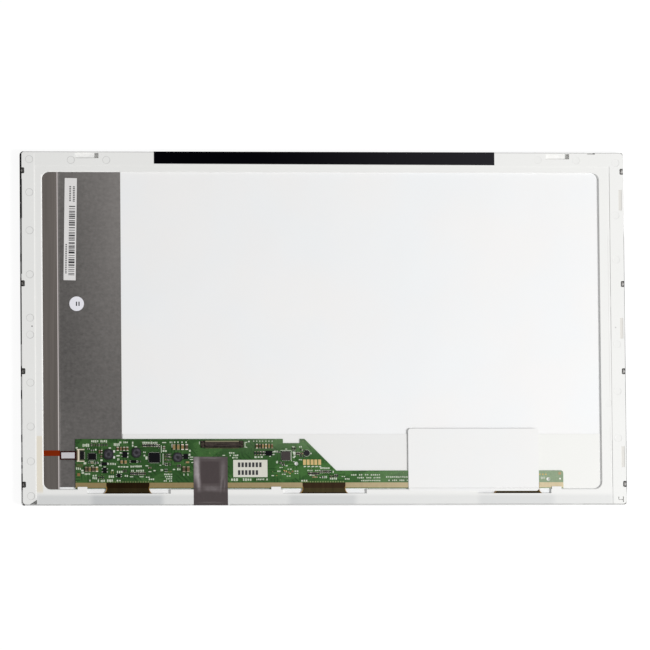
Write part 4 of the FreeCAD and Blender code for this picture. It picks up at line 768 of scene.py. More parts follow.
# Runs where the painted shadow of the gap beside the bezel's left wall lies on the frame: lower and upper
# end, and how far right it reaches.
SHADE_GAP_LAPS = ((88.5, 104.0, -178.84), (65.0, 88.5, -178.66), (32.0, 65.0, -178.9))
FRAME_TINTS = (
    *(Tint((250, 249, 247), share, x=(left, right, 0.3), y=(low, high, 0.5))
      for left, right, low, high, share in LIT_EDGES),
    # Painted shade on the floors of the side pockets on the right.
    Tint((216, 214, 209), x=(176.0, 178.5, 0.1), z=(4.9, 5.12, 0.04)),
    # Painted shadow of the gap beside the bezel's left wall.
    *(Tint((34, 33, 33), x=(-FAR, right, 0.08), y=(low, high, 0.7)) for low, high, right in SHADE_GAP_LAPS),
)
FILM_FLARES: tuple[Place, ...] = tuple((middle + side * 15.9, -95.0) for middle in FILM_MIDDLES
                                       for side in (-1, 1))
# Faint lines of the conductors under the tail's white patch.
PATCH_LINES = tuple(Tint((196, 196, 206), 0.6, y=(row - 0.15, row + 0.15, 0.15))
                    for row in (-74.5, -75.35, -76.2))
# The LED socket's stained lip along the tail, and its shaded flanks beside the latch.
SOCKET_TINTS = (Tint((104, 88, 58), 0.8, x=(-FAR, -146.55, 0.2), y=(-78.45, -72.25, 0.2)),
                Tint((58, 66, 42), 0.9, x=(-145.75, FAR, 0.16), y=(-78.65, -72.05, 0.16)))

FRAME = FramePlastic("frame_white", (231, 231, 229), 0.5, cloud=0.012, cloud_size=30.0, grain_size=0.25,
                     marks=MOULD_MARKS, tints=FRAME_TINTS)
BEZEL = ShadedWallSteel("bezel_steel", (226, 226, 225), 0.45, 0.3, cloud=0.03, grain=0.004, specular=0.0,
                    lay=Lay.ALONG_X)
POLARISER = Film("polariser_dark", (14, 14, 17), 0.12, coat=0.6, warm=(16, 15, 17), cool=(12, 14, 19),
                 wave=0.02)
CELL_GLASS = Finish("cell_glass", (120, 134, 132), 0.08, coat=0.5, cloud=0.02, grain=0.0005)
BLACK_TAPE = Film("tape_black", (2, 2, 5), 0.55, warm=(2, 2, 5), cool=(1, 1, 5), wave=0.05, wave_size=18.0,
                  grain_size=0.6, specular=0.008, tints=(Tint((43, 42, 46), x=(50.0, FAR, 220.0)),))
OPTICAL = Film("optical_film", (222, 224, 226), 0.3, coat=0.2, wave=0.05)
GUIDE = Film("guide_clear", (206, 216, 214), 0.15, coat=0.4, wave=0.02)
REFLECTOR = Film("reflector_white", (237, 238, 238), 0.38, coat=0.08, cloud=0.008, cloud_size=70.0,
                 mottle=0.3, warm=(240, 235, 233), cool=(233, 236, 240))
PLATE = HeatPlate("heat_plate", (104, 101, 99), 0.48, 0.35, cloud=0.02, cloud_size=6.0, grain=0.004,
                  specular=0.25, streak=0.05)
FLEX = FlexTail("flex_orange", (128, 38, 3), 0.45, cloud=0.06, specular=0.04, line=(98, 27, 4),
                lay=Lay.ALONG_X, pitch=0.8, show=0.5)
LED = Finish("led_white", (238, 230, 190), 0.4)
PATCH = Film("patch_white", (200, 197, 200), 0.5, wave=0.02, wave_size=8.0, specular=0.3,
             warm=(201, 196, 198), cool=(196, 197, 203), tints=PATCH_LINES)
BOARD = SolderMask("board_green", (48, 86, 40), 0.45, coat=0.04, cloud=0.06, cloud_size=8.0, specular=0.08)
INSULATION = Film("insulation_clear", (230, 230, 229), 0.3, coat=0.12, cloud=0.008, cloud_size=40.0,
                  warm=(233, 230, 226), cool=(229, 231, 233),
                  tints=(Tint((234, 234, 231), x=(111.5, FAR, 33.0)),))
SOURCE = TracedFilm("film_brown", (24, 14, 2), 0.4, cloud=0.15, cloud_size=6.0, specular=0.03,
                    line=(46, 32, 11), pitch=0.55, show=0.35, paler=(54, 41, 27), slope_highlight=(68, 62, 38),
                    flares=FILM_FLARES)
EPOXY = Finish("chip_black", (18, 18, 20), 0.6, cloud=0.1, cloud_size=2.0, grain=0.012, grain_size=0.12,
               specular=0.03)
# Painted sheen: the level shifter's top is a lighter grey standing for the lamp's sheen on it.
EPOXY_PAINTED_SHEEN = replace(EPOXY, name="chip_painted_sheen", colour=(66, 60, 60), specular=0.06)
LABEL = Paper("label_white", (221, 219, 218), 0.6, cloud=0.01)
ROUND_LABEL = replace(LABEL, name="label_cool", colour=(228, 227, 234))
BOARD_LABEL = replace(LABEL, name="label_grey", colour=(206, 205, 194))
COVER = Film("cover_white", (233, 233, 232), 0.42, cloud=0.004, mottle=0.1, wave=0.06, wave_size=30.0)
GROUND_TAPE = ParcelTape("tape_grey", (74, 66, 66), 0.4, 0.12, cloud=0.09, cloud_size=5.0, mottle=0.15,
                         specular=0.25, warm=(78, 66, 66), cool=(74, 70, 72))
CREAM = Finish("socket_cream", (216, 206, 186), 0.5, cloud=0.03, cloud_size=2.0, grain=0.008, grain_size=0.15,
               specular=0.2, tints=SOCKET_TINTS)
DARK_NYLON = Finish("socket_dark", (20, 20, 21), 0.5, cloud=0.06, cloud_size=2.0, grain=0.008,
                    grain_size=0.15, specular=0.04)
SHELL = ShellMetal("socket_shell", (54, 47, 43), 0.45, 0.2, cloud=0.08, cloud_size=2.0, grain=0.004,
                   specular=0.08, lay=Lay.ALONG_X)
CONTACTS = BrushedMetal("contact_gold", (96, 88, 62), 0.45, 0.4, grain=0.002, lay=Lay.ROUND_ABOUT)
TINNED = replace(CONTACTS, name="contact_tinned", colour=(150, 148, 140), roughness=0.4, metallic=0.6)
FERRITE = Drums("ferrite", (40, 39, 42), 0.65, cloud=0.16, cloud_size=1.6, grain=0.03, grain_size=0.25,
                specular=0.05, drums=((-128.45, -74.8), (-111.95, -73.8), (-87.5, -76.6)))
CERAMIC = Tinted("capacitor_tan", (180, 150, 110), 0.45, 0.9, cloud=0.12, cloud_size=0.8, grain=0.006,
                 grain_size=0.2, specular=0.25)
GLAZED = replace(CERAMIC, name="resistor_dark", colour=(40, 38, 40), roughness=0.4, grain=0.005, specular=0.2)
PLATED = Tinted("contact_plated", (200, 200, 196), 0.42, 0.9, cloud=0.1, cloud_size=1.0, grain=0.006,
                grain_size=0.2)
PRINT = Finish("print_white", (186, 194, 176), 0.6, cloud=0.08, cloud_size=1.2, grain=0.004, grain_size=0.12)
INK = Finish("print_grey", (54, 54, 56), 0.6, cloud=0.15, cloud_size=1.0, grain=0.002, grain_size=0.12,
             specular=0.15)


@lru_cache(maxsize=None)
def material_of(finish: Finish) -> bpy.types.Material:
    """Makes a finish's material once.

    Args:
        finish: the finish to paint.

    Returns:
        Its material.
    """
    material = bpy.data.materials.new(finish.name)
    material.use_nodes = True
    graph = Graph(material.node_tree)
    graph.surface(finish.sockets(graph))
    return material


# ---------------------------------------------------------------- shapes

@dataclass
class Shape:
    """Points in millimetres, faces by their length, and a tint and metal share for each point."""
    points: np.ndarray
    faces: list[np.ndarray]
    tint: Optional[np.ndarray] = None
    metal: Optional[np.ndarray] = None

    def coloured(self, tint: Any, metal: float = 0.0) -> "Shape":
        """Gives its points a tint, one for all or one for each block, and a metal share."""
        rows = np.atleast_2d(np.asarray(tint, float))
        self.tint = np.repeat(rows, len(self.points) // len(rows), 0)
        self.metal = np.full(len(self.points), metal)
        return self

    def turned(self, centre: Place, degrees: float) -> "Shape":
        """Turns it about an upright line: the usual rotation of x and y."""
        c, s = np.cos(np.radians(degrees)), np.sin(np.radians(degrees))
        flat = self.points[:, :2] - centre
        self.points[:, :2] = flat @ np.array([[c, s], [-s, c]]) + centre
        return self


def joined(shapes: Sequence[Shape]) -> Shape:
    """Puts shapes into one, with each face counting from its shape's first point.

    Args:
        shapes: the shapes, all coloured or none.

    Returns:
        One shape.
    """
    starts = np.cumsum([0] + [len(s.points) for s in shapes[:-1]])
    faces = [f + start for s, start in zip(shapes, starts) for f in s.faces]
    whole = Shape(np.concatenate([s.points for s in shapes]), faces)
    if shapes[0].tint is not None:
        whole.tint = np.concatenate([s.tint for s in shapes])
        whole.metal = np.concatenate([s.metal for s in shapes])
    return whole


def slabs(lows: Any, highs: Any, chamfer: float) -> Shape:
    """Blocks with a chamfered top.

    Each has a foot rectangle, the same one a chamfer below the top, and a top one drawn in by the chamfer.

    Args:
        lows: lowest corners, one row a block.
        highs: highest corners.
        chamfer: width and height of the chamfer.

    Returns:
        Twelve points and ten quads a block.
    """
    lows, highs = np.atleast_2d(np.asarray(lows, float)), np.atleast_2d(np.asarray(highs, float))
    ring = np.array([[0, 0], [1, 0], [1, 1], [0, 1]], float)
    span = (highs - lows)[:, None, :2]
    foot = lows[:, None, :2] + ring * span
    top = lows[:, None, :2] + chamfer + ring * (span - 2 * chamfer)
    rise = np.stack([lows[:, 2], highs[:, 2] - chamfer, highs[:, 2]], 1)
    levels = [np.broadcast_to(rise[:, None, k:k + 1], (len(lows), 4, 1)) for k in range(3)]
    points = np.concatenate([np.concatenate(pair, 2) for pair in zip((foot, foot, top), levels)], 1)
    a, b = np.arange(4), (np.arange(4) + 1) % 4
    walls = np.concatenate([np.stack([a + k, b + k, b + k + 4, a + k + 4], 1) for k in (0, 4)])
    quads = np.concatenate([walls, [[3, 2, 1, 0], [8, 9, 10, 11]]])
    faces = quads[None] + 12 * np.arange(len(lows))[:, None, None]
    return Shape(points.reshape(-1, 3), [faces.reshape(-1, 4)])


def standing(places: Any, base: float, height: float) -> tuple[np.ndarray, np.ndarray]:
    """Corners of blocks that stand on a level: each middle less and plus half a size.

    Args:
        places: middle and size in x and y, one row a block.
        base: the level.
        height: how far the blocks rise above it.

    Returns:
        Lowest and highest corners, one row a block.
    """
    middle, half = np.hsplit(np.asarray(places, float) * [1, 1, 0.5, 0.5], 2)
    level = np.full(len(middle), base)
    return np.c_[middle - half, level], np.c_[middle + half, level + height]


def posts(centres: Any, radius: float, low: float, high: float, sides: int = 20, bore: float = 0.0) -> Shape:
    """Short round posts or rings: points at radius times the cosine and sine of even angles.

    Args:
        centres: middles in x and y, one row a post.
        radius: outer radius.
        low: foot height.
        high: top height.
        sides: corners of each round.
        bore: inner radius, nought for a solid post.

    Returns:
        The posts' walls, and end faces or the ring's top and bottom.
    """
    centres = np.atleast_2d(np.asarray(centres, float))
    angle = np.arange(sides) * 2 * np.pi / sides
    unit = np.stack([np.cos(angle), np.sin(angle)], 1)
    levels = [(radius, low), (radius, high)] + ([(bore, high), (bore, low)] if bore else [])
    points = np.concatenate([
        np.concatenate([centres[:, None] + unit * r, np.full((len(centres), sides, 1), z)], 2)
        for r, z in levels], 1)
    a, b = np.arange(sides), (np.arange(sides) + 1) % sides
    count = len(levels)
    loops = range(count) if bore else range(1)
    walls = np.concatenate([np.stack([a + k * sides, b + k * sides, b + (k + 1) % count * sides,
                                      a + (k + 1) % count * sides], 1) for k in loops])
    offset = (count * sides * np.arange(len(centres)))[:, None, None]
    faces = [(walls[None] + offset).reshape(-1, 4)]
    if not bore:
        ends = np.stack([a[::-1], a + sides])
        faces.append((ends[None] + offset).reshape(-1, sides))
    return Shape(points.reshape(-1, 3), faces)


def sheet_between(top: np.ndarray, bottom: np.ndarray) -> Shape:
    """A closed sheet from two grids of points: both faces, and a strip of quads round their edge.

    Args:
        top: upper points by row and column.
        bottom: lower points under them.

    Returns:
        The sheet.
    """
    rows, columns = top.shape[:2]
    number = np.arange(rows * columns).reshape(rows, columns)
    grid = np.stack([number[:-1, :-1], number[1:, :-1], number[1:, 1:], number[:-1, 1:]], -1).reshape(-1, 4)
    rim = np.concatenate([number[:-1, 0], number[-1, :-1], number[:0:-1, -1], number[0, :0:-1]])
    after = np.roll(rim, -1)
    under = rows * columns
    edge = np.stack([rim + under, after + under, after, rim], 1)
    points = np.concatenate([top.reshape(-1, 3), bottom.reshape(-1, 3)])
    return Shape(points, [grid, grid[:, ::-1] + under, edge])


def bent_leads(roots: Any, outward: Any, width: float, reach: float, rise: float, foot: float,
               thickness: float = 0.12) -> Shape:
    """Bent leads of small packages: one profile of eight points carried over the lead's width.

    The profile leaves the package level, slopes down over the middle third and ends in a flat foot.

    Args:
        roots: points in x and y where the leads leave the package.
        outward: unit directions in x and y.
        width: width of a lead.
        reach: how far it stands out.
        rise: height of its start above the foot.
        foot: height of the surface that it stands on.
        thickness: thickness of the metal.

    Returns:
        Sixteen points and fourteen quads a lead.
    """
    roots, outward = np.atleast_2d(np.asarray(roots, float)), np.atleast_2d(np.asarray(outward, float))
    along = np.array([0, 0.3, 0.55, 1.0]) * reach
    upper = np.stack([along, np.array([rise, rise, thickness, thickness])], 1)
    lower = upper[::-1] + np.array([-0.06, -thickness + 0.005])
    profile = np.concatenate([upper, lower])
    side = np.stack([-outward[:, 1], outward[:, 0]], 1) * width / 2
    flat = roots[:, None] + outward[:, None] * profile[None, :, :1]
    height = np.broadcast_to(foot + profile[None, :, 1:], (len(roots), 8, 1))
    points = np.concatenate([np.concatenate([flat + s * side[:, None], height], 2) for s in (1, -1)], 1)
    a, b = np.arange(8), (np.arange(8) + 1) % 8
    walls = np.stack([a, b, b + 8, a + 8], 1)
    caps = np.array([[0, 7, 6, 1], [1, 6, 5, 2], [2, 5, 4, 3]])
    quads = np.concatenate([walls, caps, caps[:, ::-1] + 8])
    faces = quads[None] + 16 * np.arange(len(roots))[:, None, None]
    return Shape(points.reshape(-1, 3), [faces.reshape(-1, 4)])


def linked(name: str, data: Any) -> bpy.types.Object:
    """Makes an object of a mesh, lamp or camera and puts it into the scene."""
    thing = bpy.data.objects.new(name, data)
    bpy.context.scene.collection.objects.link(thing)
    return thing


def add_piece(name: str, shape: Shape, finish: Finish, body: str = "panel",
              stands_for: Iterable[str] = ()) -> bpy.types.Object:
    """Makes a mesh object of a shape, dresses it and lets it ride on a body.

    Args:
        name: the piece's name.
        shape: its points and faces.
        finish: its finish.
        body: the body that it moves with.
        stands_for: solids that it replaces.

    Returns:
        The new object.
    """
    mesh = bpy.data.meshes.new(name)
    mesh.from_pydata((shape.points * MM).tolist(), [], [f for faces in shape.faces for f in faces.tolist()])
    if shape.tint is not None:
        tint = mesh.attributes.new("tint", "FLOAT_COLOR", "POINT")
        tint.data.foreach_set("color", np.c_[shape.tint, np.ones(len(shape.tint))].ravel())
        mesh.attributes.new("metal", "FLOAT", "POINT").data.foreach_set("value", shape.metal)
    mesh.materials.append(material_of(finish))
    piece = linked(name, mesh)
    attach(piece, body)
    if stands_for:
        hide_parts(*stands_for)
    LOG.info("%s: %d points, %s", name, len(shape.points), finish.name)
    return piece


def dress(finish: Finish, *nodes: str) -> None:
    """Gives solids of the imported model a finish."""
    for node in nodes:
        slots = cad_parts[node].data.materials
        slots.clear()
        slots.append(material_of(finish))
        LOG.info("%s: %s", node, finish.name)


def boxes_of(node: str) -> tuple[np.ndarray, np.ndarray]:
    """Lowest and highest corners of each block in a solid that is a row of blocks, in millimetres.

    Args:
        node: the solid, whose blocks have twenty-four points each.

    Returns:
        Two arrays, one row a block.
    """
    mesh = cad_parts[node].data
    points = np.empty(len(mesh.vertices) * 3, np.float32)
    mesh.vertices.foreach_get("co", points)
    blocks = points.reshape(-1, 24, 3).astype(float) / MM
    return blocks.min(1), blocks.max(1)


def box_of(node: str) -> tuple[np.ndarray, np.ndarray]:
    """Lowest and highest corner of a solid in millimetres."""
    low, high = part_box(node)
    return np.array(low) / MM, np.array(high) / MM


# ---------------------------------------------------------------- sub-assemblies

@dataclass
class Housing:
    """White moulded frame in its steel bezel, with black tape between it and the glass."""
    land: float = 5.2
    ring_height: float = 0.05

    def build(self) -> None:
        """Dresses the frame, bezel and inner tape, and adds the fine rings that ejector pins leave."""
        dress(FRAME, "main_frame")
        dress(BEZEL, "front_bezel")
        dress(BLACK_TAPE, "rim_tape")
        rings = posts(MOULD_MARKS, FRAME.ring_radius, self.land, self.land + self.ring_height, 48,
                      FRAME.ring_radius - FRAME.ring_width)
        add_piece("mould_rings", rings, FRAME)


@dataclass
class DisplayStack:
    """Polarisers, glass and light sheets, from the front to the white reflector at the rear."""

    def build(self) -> None:
        """Dresses the layers."""
        dress(POLARISER, "front_polariser", "rear_polariser")
        dress(CELL_GLASS, "colour_filter_glass", "array_glass")
        dress(OPTICAL, "upper_diffuser", "upper_prism_sheet", "lower_prism_sheet", "lower_diffuser")
        dress(GUIDE, "light_guide")
        dress(REFLECTOR, "reflector_sheet")


@dataclass
class LightBar:
    """Heat plate with the LED flex, whose tail runs to the socket under a white patch."""

    def build(self) -> None:
        """Dresses the plate, flex, LEDs and patch."""
        dress(PLATE, "led_bracket")
        dress(FLEX, "led_flex")
        dress(LED, "led_packages")
        dress(PATCH, "tail_patch")


@dataclass
class ControlBoard:
    """Green board with gold pads, white print and the leads of its packages.

    Pads are given by middle, size and tint, rounds by middle, radius and tint, rings by middle and
    radius, and ticks by a row's middle, width, height and number of ticks.
    """
    top: float = BOARD_TOP
    print_height: float = 0.02
    pad_height: float = 0.035
    land_height: float = 0.03
    ring_half: float = 0.09
    hole_radii: Place = (1.06, 0.86)
    hole_tint: Colour = (232, 234, 228)
    solder: Colour = (176, 178, 170)
    terminal: Place = (1.1, 1.4)
    terminal_tint: Colour = (206, 206, 202)
    pads: tuple[tuple[float, float, float, float, Colour], ...] = (
        *((x, -79.5, 1.7, 3.2, (196, 168, 112)) for x in (-12.4, -10.2, -7.9, -5.7, -3.4)),
        (-146.1, -86.7, 1.7, 1.7, (124, 88, 46)), (139.5, -86.2, 1.6, 1.5, (170, 146, 110)))
    rounds: tuple[tuple[float, float, float, Colour], ...] = (
        *((x, -86.8, 0.42, (206, 170, 98)) for x in (127.6, 129.4, 131.2)),
        (139.7, -89.4, 0.5, (236, 234, 226)))
    rings: tuple[tuple[float, float, float], ...] = ((-11.0, -74.1, 1.95),)
    hole_lands: tuple[Place, ...] = ((-17.3, -80.3), (132.6, -89.6))
    packages: tuple[str, ...] = ("led_driver", "timing_controller", "level_shifter")
    lead_pitch: float = 0.65
    lead_width: float = 0.32
    lead_height: float = 0.09
    lead_reach: Place = (-0.1, 0.32)
    ticks: tuple[tuple[float, float, float, float, int], ...] = (
        (-136.5, -67.0, 4.6, 1.5, 4), (-131.2, -67.0, 4.2, 1.6, 4), (-141.8, -69.4, 4.2, 1.9, 4),
        (-123.6, -69.0, 3.7, 1.8, 4), (-121.4, -67.7, 1.2, 1.0, 1), (-118.3, -67.7, 2.8, 1.1, 3),
        (-114.1, -67.9, 0.8, 1.2, 1), (-114.1, -69.6, 0.8, 1.2, 1), (-103.9, -67.9, 9.2, 1.3, 9),
        (-99.2, -69.4, 1.0, 1.0, 1), (-125.9, -80.4, 4.0, 1.6, 4), (-146.2, -83.2, 3.2, 1.5, 3),
        (-143.9, -84.3, 1.4, 1.0, 1), (-143.7, -85.7, 1.4, 1.0, 1), (-141.0, -86.3, 3.4, 1.2, 4),
        (-136.7, -87.3, 2.8, 1.0, 2), (-136.7, -88.8, 2.8, 1.2, 3), (-132.8, -90.4, 4.4, 1.5, 5),
        (-127.7, -90.2, 3.8, 1.6, 4), (-126.9, -87.8, 3.4, 1.8, 3), (-122.5, -90.2, 2.9, 0.9, 2),
        (-118.0, -87.5, 2.3, 1.2, 2), (-111.8, -84.4, 8.8, 1.3, 9), (-114.9, -88.0, 2.0, 0.45, 1),
        (-109.0, -88.0, 2.4, 0.45, 1), (-105.3, -88.3, 2.7, 0.8, 2), (-103.2, -89.5, 3.5, 1.0, 3),
        (-121.9, -85.1, 3.8, 1.6, 3), (-112.2, -81.9, 7.0, 1.3, 6), (-119.9, -82.1, 6.6, 0.9, 4),
        (-122.8, -75.6, 2.0, 0.7, 1), (-107.2, -73.5, 1.8, 0.8, 2), (-107.2, -75.5, 0.9, 0.9, 1),
        (-106.0, -76.9, 1.2, 1.8, 1), (-105.8, -81.5, 1.7, 0.55, 1), (-104.0, -85.0, 1.7, 0.5, 1),
        (-101.3, -84.4, 1.2, 0.7, 1), (-127.6, -71.0, 1.4, 0.8, 1), (-132.6, -78.2, 1.3, 1.0, 1),
        (-122.7, -77.8, 1.4, 1.5, 2), (-138.3, -79.1, 2.0, 0.7, 1), (-142.4, -80.0, 1.5, 1.2, 1),
        (-147.2, -70.9, 1.1, 0.9, 1), (-133.3, -81.3, 1.6, 1.2, 2), (-128.9, -80.4, 0.8, 0.8, 1),
        (-130.7, -82.2, 1.5, 0.5, 1), (-138.0, -81.5, 1.5, 0.5, 1), (-126.2, -84.2, 1.2, 0.8, 1),
        (-97.2, -71.6, 0.4, 4.4, 1), (-96.2, -77.6, 0.4, 6.6, 1), (-95.5, -67.8, 2.4, 0.55, 1),
        (-95.2, -72.8, 2.7, 1.0, 2), (-91.4, -67.6, 2.0, 0.9, 2),
        *((x, -67.6, 0.7, 0.9, 1) for x in (-89.3, -87.3, -84.9, -82.5)), (-80.3, -72.7, 1.0, 1.1, 1),
        (-80.5, -75.0, 1.0, 1.2, 1), (-79.4, -76.4, 2.0, 0.5, 1), (-79.4, -77.8, 2.0, 0.5, 1),
        (-78.9, -79.6, 1.2, 0.5, 1), (-86.9, -83.7, 2.4, 1.3, 2), (-89.8, -83.7, 1.3, 0.7, 1),
        (-97.0, -84.0, 1.5, 1.4, 2), (-93.2, -86.6, 5.0, 0.9, 5), (-93.0, -87.9, 4.6, 0.9, 4),
        (-93.2, -89.2, 4.8, 0.9, 5), (-93.4, -90.5, 5.2, 0.8, 5), (-83.9, -86.8, 0.5, 1.2, 1),
        (-81.5, -86.8, 0.5, 1.2, 1), (-97.8, -81.2, 1.0, 0.5, 1), (-60.2, -75.4, 1.5, 0.5, 1),
        (-55.5, -74.0, 3.5, 0.9, 3), (-54.2, -75.4, 5.5, 1.0, 5), (-53.6, -76.8, 3.5, 0.8, 3),
        (-54.0, -89.8, 4.4, 1.6, 3), (-46.5, -89.7, 5.5, 1.6, 4), (-37.7, -89.6, 7.0, 1.1, 7),
        (-74.6, -68.0, 0.45, 1.6, 1), (-47.6, -69.1, 0.45, 3.4, 1), (-46.9, -67.7, 1.2, 0.45, 1),
        (-46.9, -70.6, 1.2, 0.45, 1),
        *((x, -67.0, 0.6, 0.6, 1) for x in (-42.4, -40.6, -38.8, -37.2, -35.2, -33.4, -31.5)),
        (-39.6, -76.4, 5.5, 1.1, 3), (-29.2, -73.2, 2.5, 1.1, 2), (-23.4, -72.5, 6.4, 0.3, 1),
        (-20.2, -75.7, 0.3, 6.2, 1), (-23.2, -71.7, 1.2, 0.5, 1), (-19.0, -70.4, 1.5, 1.2, 2),
        (-18.7, -73.6, 1.2, 0.8, 1), (-18.7, -76.6, 1.2, 0.8, 1), (-14.7, -70.4, 1.9, 1.0, 2),
        (-14.8, -78.0, 2.0, 0.9, 3), *((x, -82.2, 1.0, 0.45, 1) for x in (-12.4, -10.2, -7.9, -5.7, -3.4)),
        (-28.7, -79.5, 1.2, 1.6, 2), (-23.0, -81.6, 1.2, 0.6, 1), (-26.3, -82.6, 2.2, 0.6, 2),
        (-27.6, -84.8, 2.2, 1.1, 2), (-21.3, -83.6, 3.0, 0.7, 2), (-17.2, -84.8, 2.6, 0.9, 2),
        (-17.2, -86.1, 2.6, 0.8, 2), (-24.8, -86.6, 2.7, 0.6, 2), (-21.9, -87.7, 2.8, 0.6, 2),
        (-31.3, -87.4, 1.5, 0.6, 1), (-6.9, -84.4, 8.0, 0.8, 7), (-0.3, -83.0, 5.8, 1.1, 5),
        (-8.0, -87.2, 3.2, 0.8, 3), (4.1, -89.2, 5.6, 1.3, 5), (10.6, -88.0, 2.4, 0.5, 2),
        (12.9, -89.4, 3.0, 1.0, 3), (-12.6, -90.4, 4.0, 1.1, 3), (-2.0, -88.6, 3.4, 0.7, 3),
        (23.8, -87.0, 17.6, 0.9, 15), (25.7, -88.7, 14.0, 0.9, 13), (26.8, -90.4, 11.8, 0.8, 11),
        (42.4, -88.3, 13.2, 0.9, 11), (43.2, -90.3, 12.0, 0.9, 11), (129.4, -88.9, 2.6, 1.5, 3))

    def pad_shapes(self) -> Shape:
        """Thin plated pads and round lands that stand a hair above the board, each in its own tint."""
        plates = slabs(*standing([pad[:4] for pad in self.pads], self.top, self.pad_height), 0.015)
        land_top = self.top + self.land_height
        lands = [posts([(x, y)], radius, self.top, land_top).coloured(linear(tint), 0.2)
                 for x, y, radius, tint in self.rounds]
        outer, inner = self.hole_radii
        round_holes = posts(self.hole_lands, outer, self.top, land_top, 32, inner)
        lands.append(round_holes.coloured(linear(self.hole_tint), 0.1))
        return joined([plates.coloured([linear(pad[4]) for pad in self.pads], 0.25), *lands])

    def print_shapes(self) -> Shape:
        """Plain printed ticks in rows, and rings round the coils.

        A row's ticks share its width evenly. Each keeps about three fifths of its share, its height
        varies a little and a few of a long row are left out, from one seeded draw.
        """
        draw = np.random.default_rng(15)
        rows = np.array([row[:4] for row in self.ticks])
        counts = np.array([row[4] for row in self.ticks])
        owner = np.repeat(np.arange(len(rows)), counts)
        order = np.arange(len(owner)) - np.repeat(np.cumsum(counts) - counts, counts)
        share = rows[owner, 2] / counts[owner]
        lone = counts[owner] == 1
        x = rows[owner, 0] - rows[owner, 2] / 2 + share * (order + 0.5)
        half_x = share * np.where(lone, 0.5, draw.uniform(0.26, 0.4, len(owner)))
        half_y = rows[owner, 3] / 2 * np.where(lone, 1.0, draw.uniform(0.72, 1.0, len(owner)))
        y = rows[owner, 1] + rows[owner, 3] / 2 * np.where(lone, 0.0, draw.uniform(-0.15, 0.15, len(owner)))
        keep = (counts[owner] < 5) | (draw.uniform(0, 1, len(owner)) > 0.14)
        places = np.stack([x, y, 2 * half_x, 2 * half_y], 1)[keep]
        shapes = [slabs(*standing(places, self.top, self.print_height), 0.008)]
        for *middle, radius in self.rings:
            shapes.append(posts([middle], radius + self.ring_half, self.top, self.top + self.print_height, 40,
                                radius - self.ring_half))
        return joined(shapes)

    def lead_shapes(self) -> Shape:
        """Solder lands round the square packages and bent leads at the small ones."""
        lands = []
        for node in self.packages:
            low, high = box_of(node)
            for axis in (0, 1):
                other = 1 - axis
                span = high[axis] - low[axis]
                places = np.arange(self.lead_pitch, span - self.lead_pitch / 2, self.lead_pitch) + low[axis]
                for edge, way in ((low[other], -1), (high[other], 1)):
                    inside, outside = edge + way * np.array(self.lead_reach)
                    rows = np.empty((len(places), 4))
                    rows[:, axis], rows[:, other] = places, (inside + outside) / 2
                    rows[:, 2 + axis], rows[:, 2 + other] = self.lead_width, abs(outside - inside)
                    lands.append(slabs(*standing(rows, self.top, self.lead_height), 0.03))
        lows, highs = boxes_of("small_transistors")
        middle = (lows + highs) / 2
        for way in (-1.0, 1.0):
            for offset in (-0.28, 0.28):
                edge = np.where(way > 0, highs[:, 0], lows[:, 0])
                roots = np.stack([edge, middle[:, 1] + offset * (highs - lows)[:, 1]], 1)
                outward = np.tile([way, 0.0], (len(roots), 1))
                lands.append(bent_leads(roots, outward, width=0.42, reach=0.75, rise=0.3, foot=self.top))
        return joined(lands).coloured(linear(self.solder), 0.3)

    def build(self) -> None:
        """Dresses the board and adds pads, print and leads."""
        dress(BOARD, "control_board")
        dress(INSULATION, "insulation_film")
        dress(EPOXY, "led_driver", "timing_controller", "small_transistors")
        dress(EPOXY_PAINTED_SHEEN, "level_shifter")
        dress(FERRITE, "inductor_left", "inductor_middle", "inductor_right", "round_coil")
        add_piece("board_pads", self.pad_shapes(), PLATED)
        add_piece("board_print", self.print_shapes(), PRINT)
        add_piece("package_leads", self.lead_shapes(), PLATED)
        low, high = box_of("inductor_left")
        middles = ((high[0] + 0.45, low[1] + 1.4), (high[0] + 0.45, high[1] - 1.3))
        terminals = slabs(*standing([(*middle, *self.terminal) for middle in middles], self.top, 0.25), 0.08)
        terminals.coloured(linear(self.terminal_tint), 0.4)
        add_piece("inductor_terminals", terminals, PLATED)


class ChipKind(Enum):
    """Kinds of chip part: solid to replace, shown body colours and slot."""
    CAPACITOR = ("chip_capacitors", ((122, 98, 62), (98, 76, 50), (138, 114, 74), (72, 57, 42)),
                 "capacitor_tan")
    RESISTOR = ("chip_resistors", ((34, 34, 38), (40, 34, 32), (30, 34, 40)), "resistor_dark")


def chip_shapes(lows: np.ndarray, highs: np.ndarray, tint: np.ndarray, plating: np.ndarray,
                end_share: float = 0.19, inset: float = 0.03) -> Shape:
    """Chip parts: each block is split along its longer side into an end, a body and an end.

    The body runs a fifth into the ends and stands an inset inside them.

    Args:
        lows: lowest corners, one row a block.
        highs: highest corners.
        tint: body colours, one row a block.
        plating: end colours, one row a block.
        end_share: an end's share of the length.
        inset: how far the ends stand proud of the body.

    Returns:
        All the blocks in one coloured shape.
    """
    span = highs - lows
    axis = np.argmax(span[:, :2], 1)
    pick = np.arange(len(lows))
    cut = span[pick, axis] * end_share
    body_low, body_high = lows + [inset, inset, 0], highs - inset
    body_low[pick, axis] = lows[pick, axis] + cut * 0.8
    body_high[pick, axis] = highs[pick, axis] - cut * 0.8
    first_high, second_low = highs.copy(), lows.copy()
    first_high[pick, axis] = lows[pick, axis] + cut
    second_low[pick, axis] = highs[pick, axis] - cut
    return joined([slabs(body_low, body_high, 0.04).coloured(tint),
                   slabs(lows, first_high, 0.06).coloured(plating, 0.5),
                   slabs(second_low, highs, 0.06).coloured(plating, 0.5)])


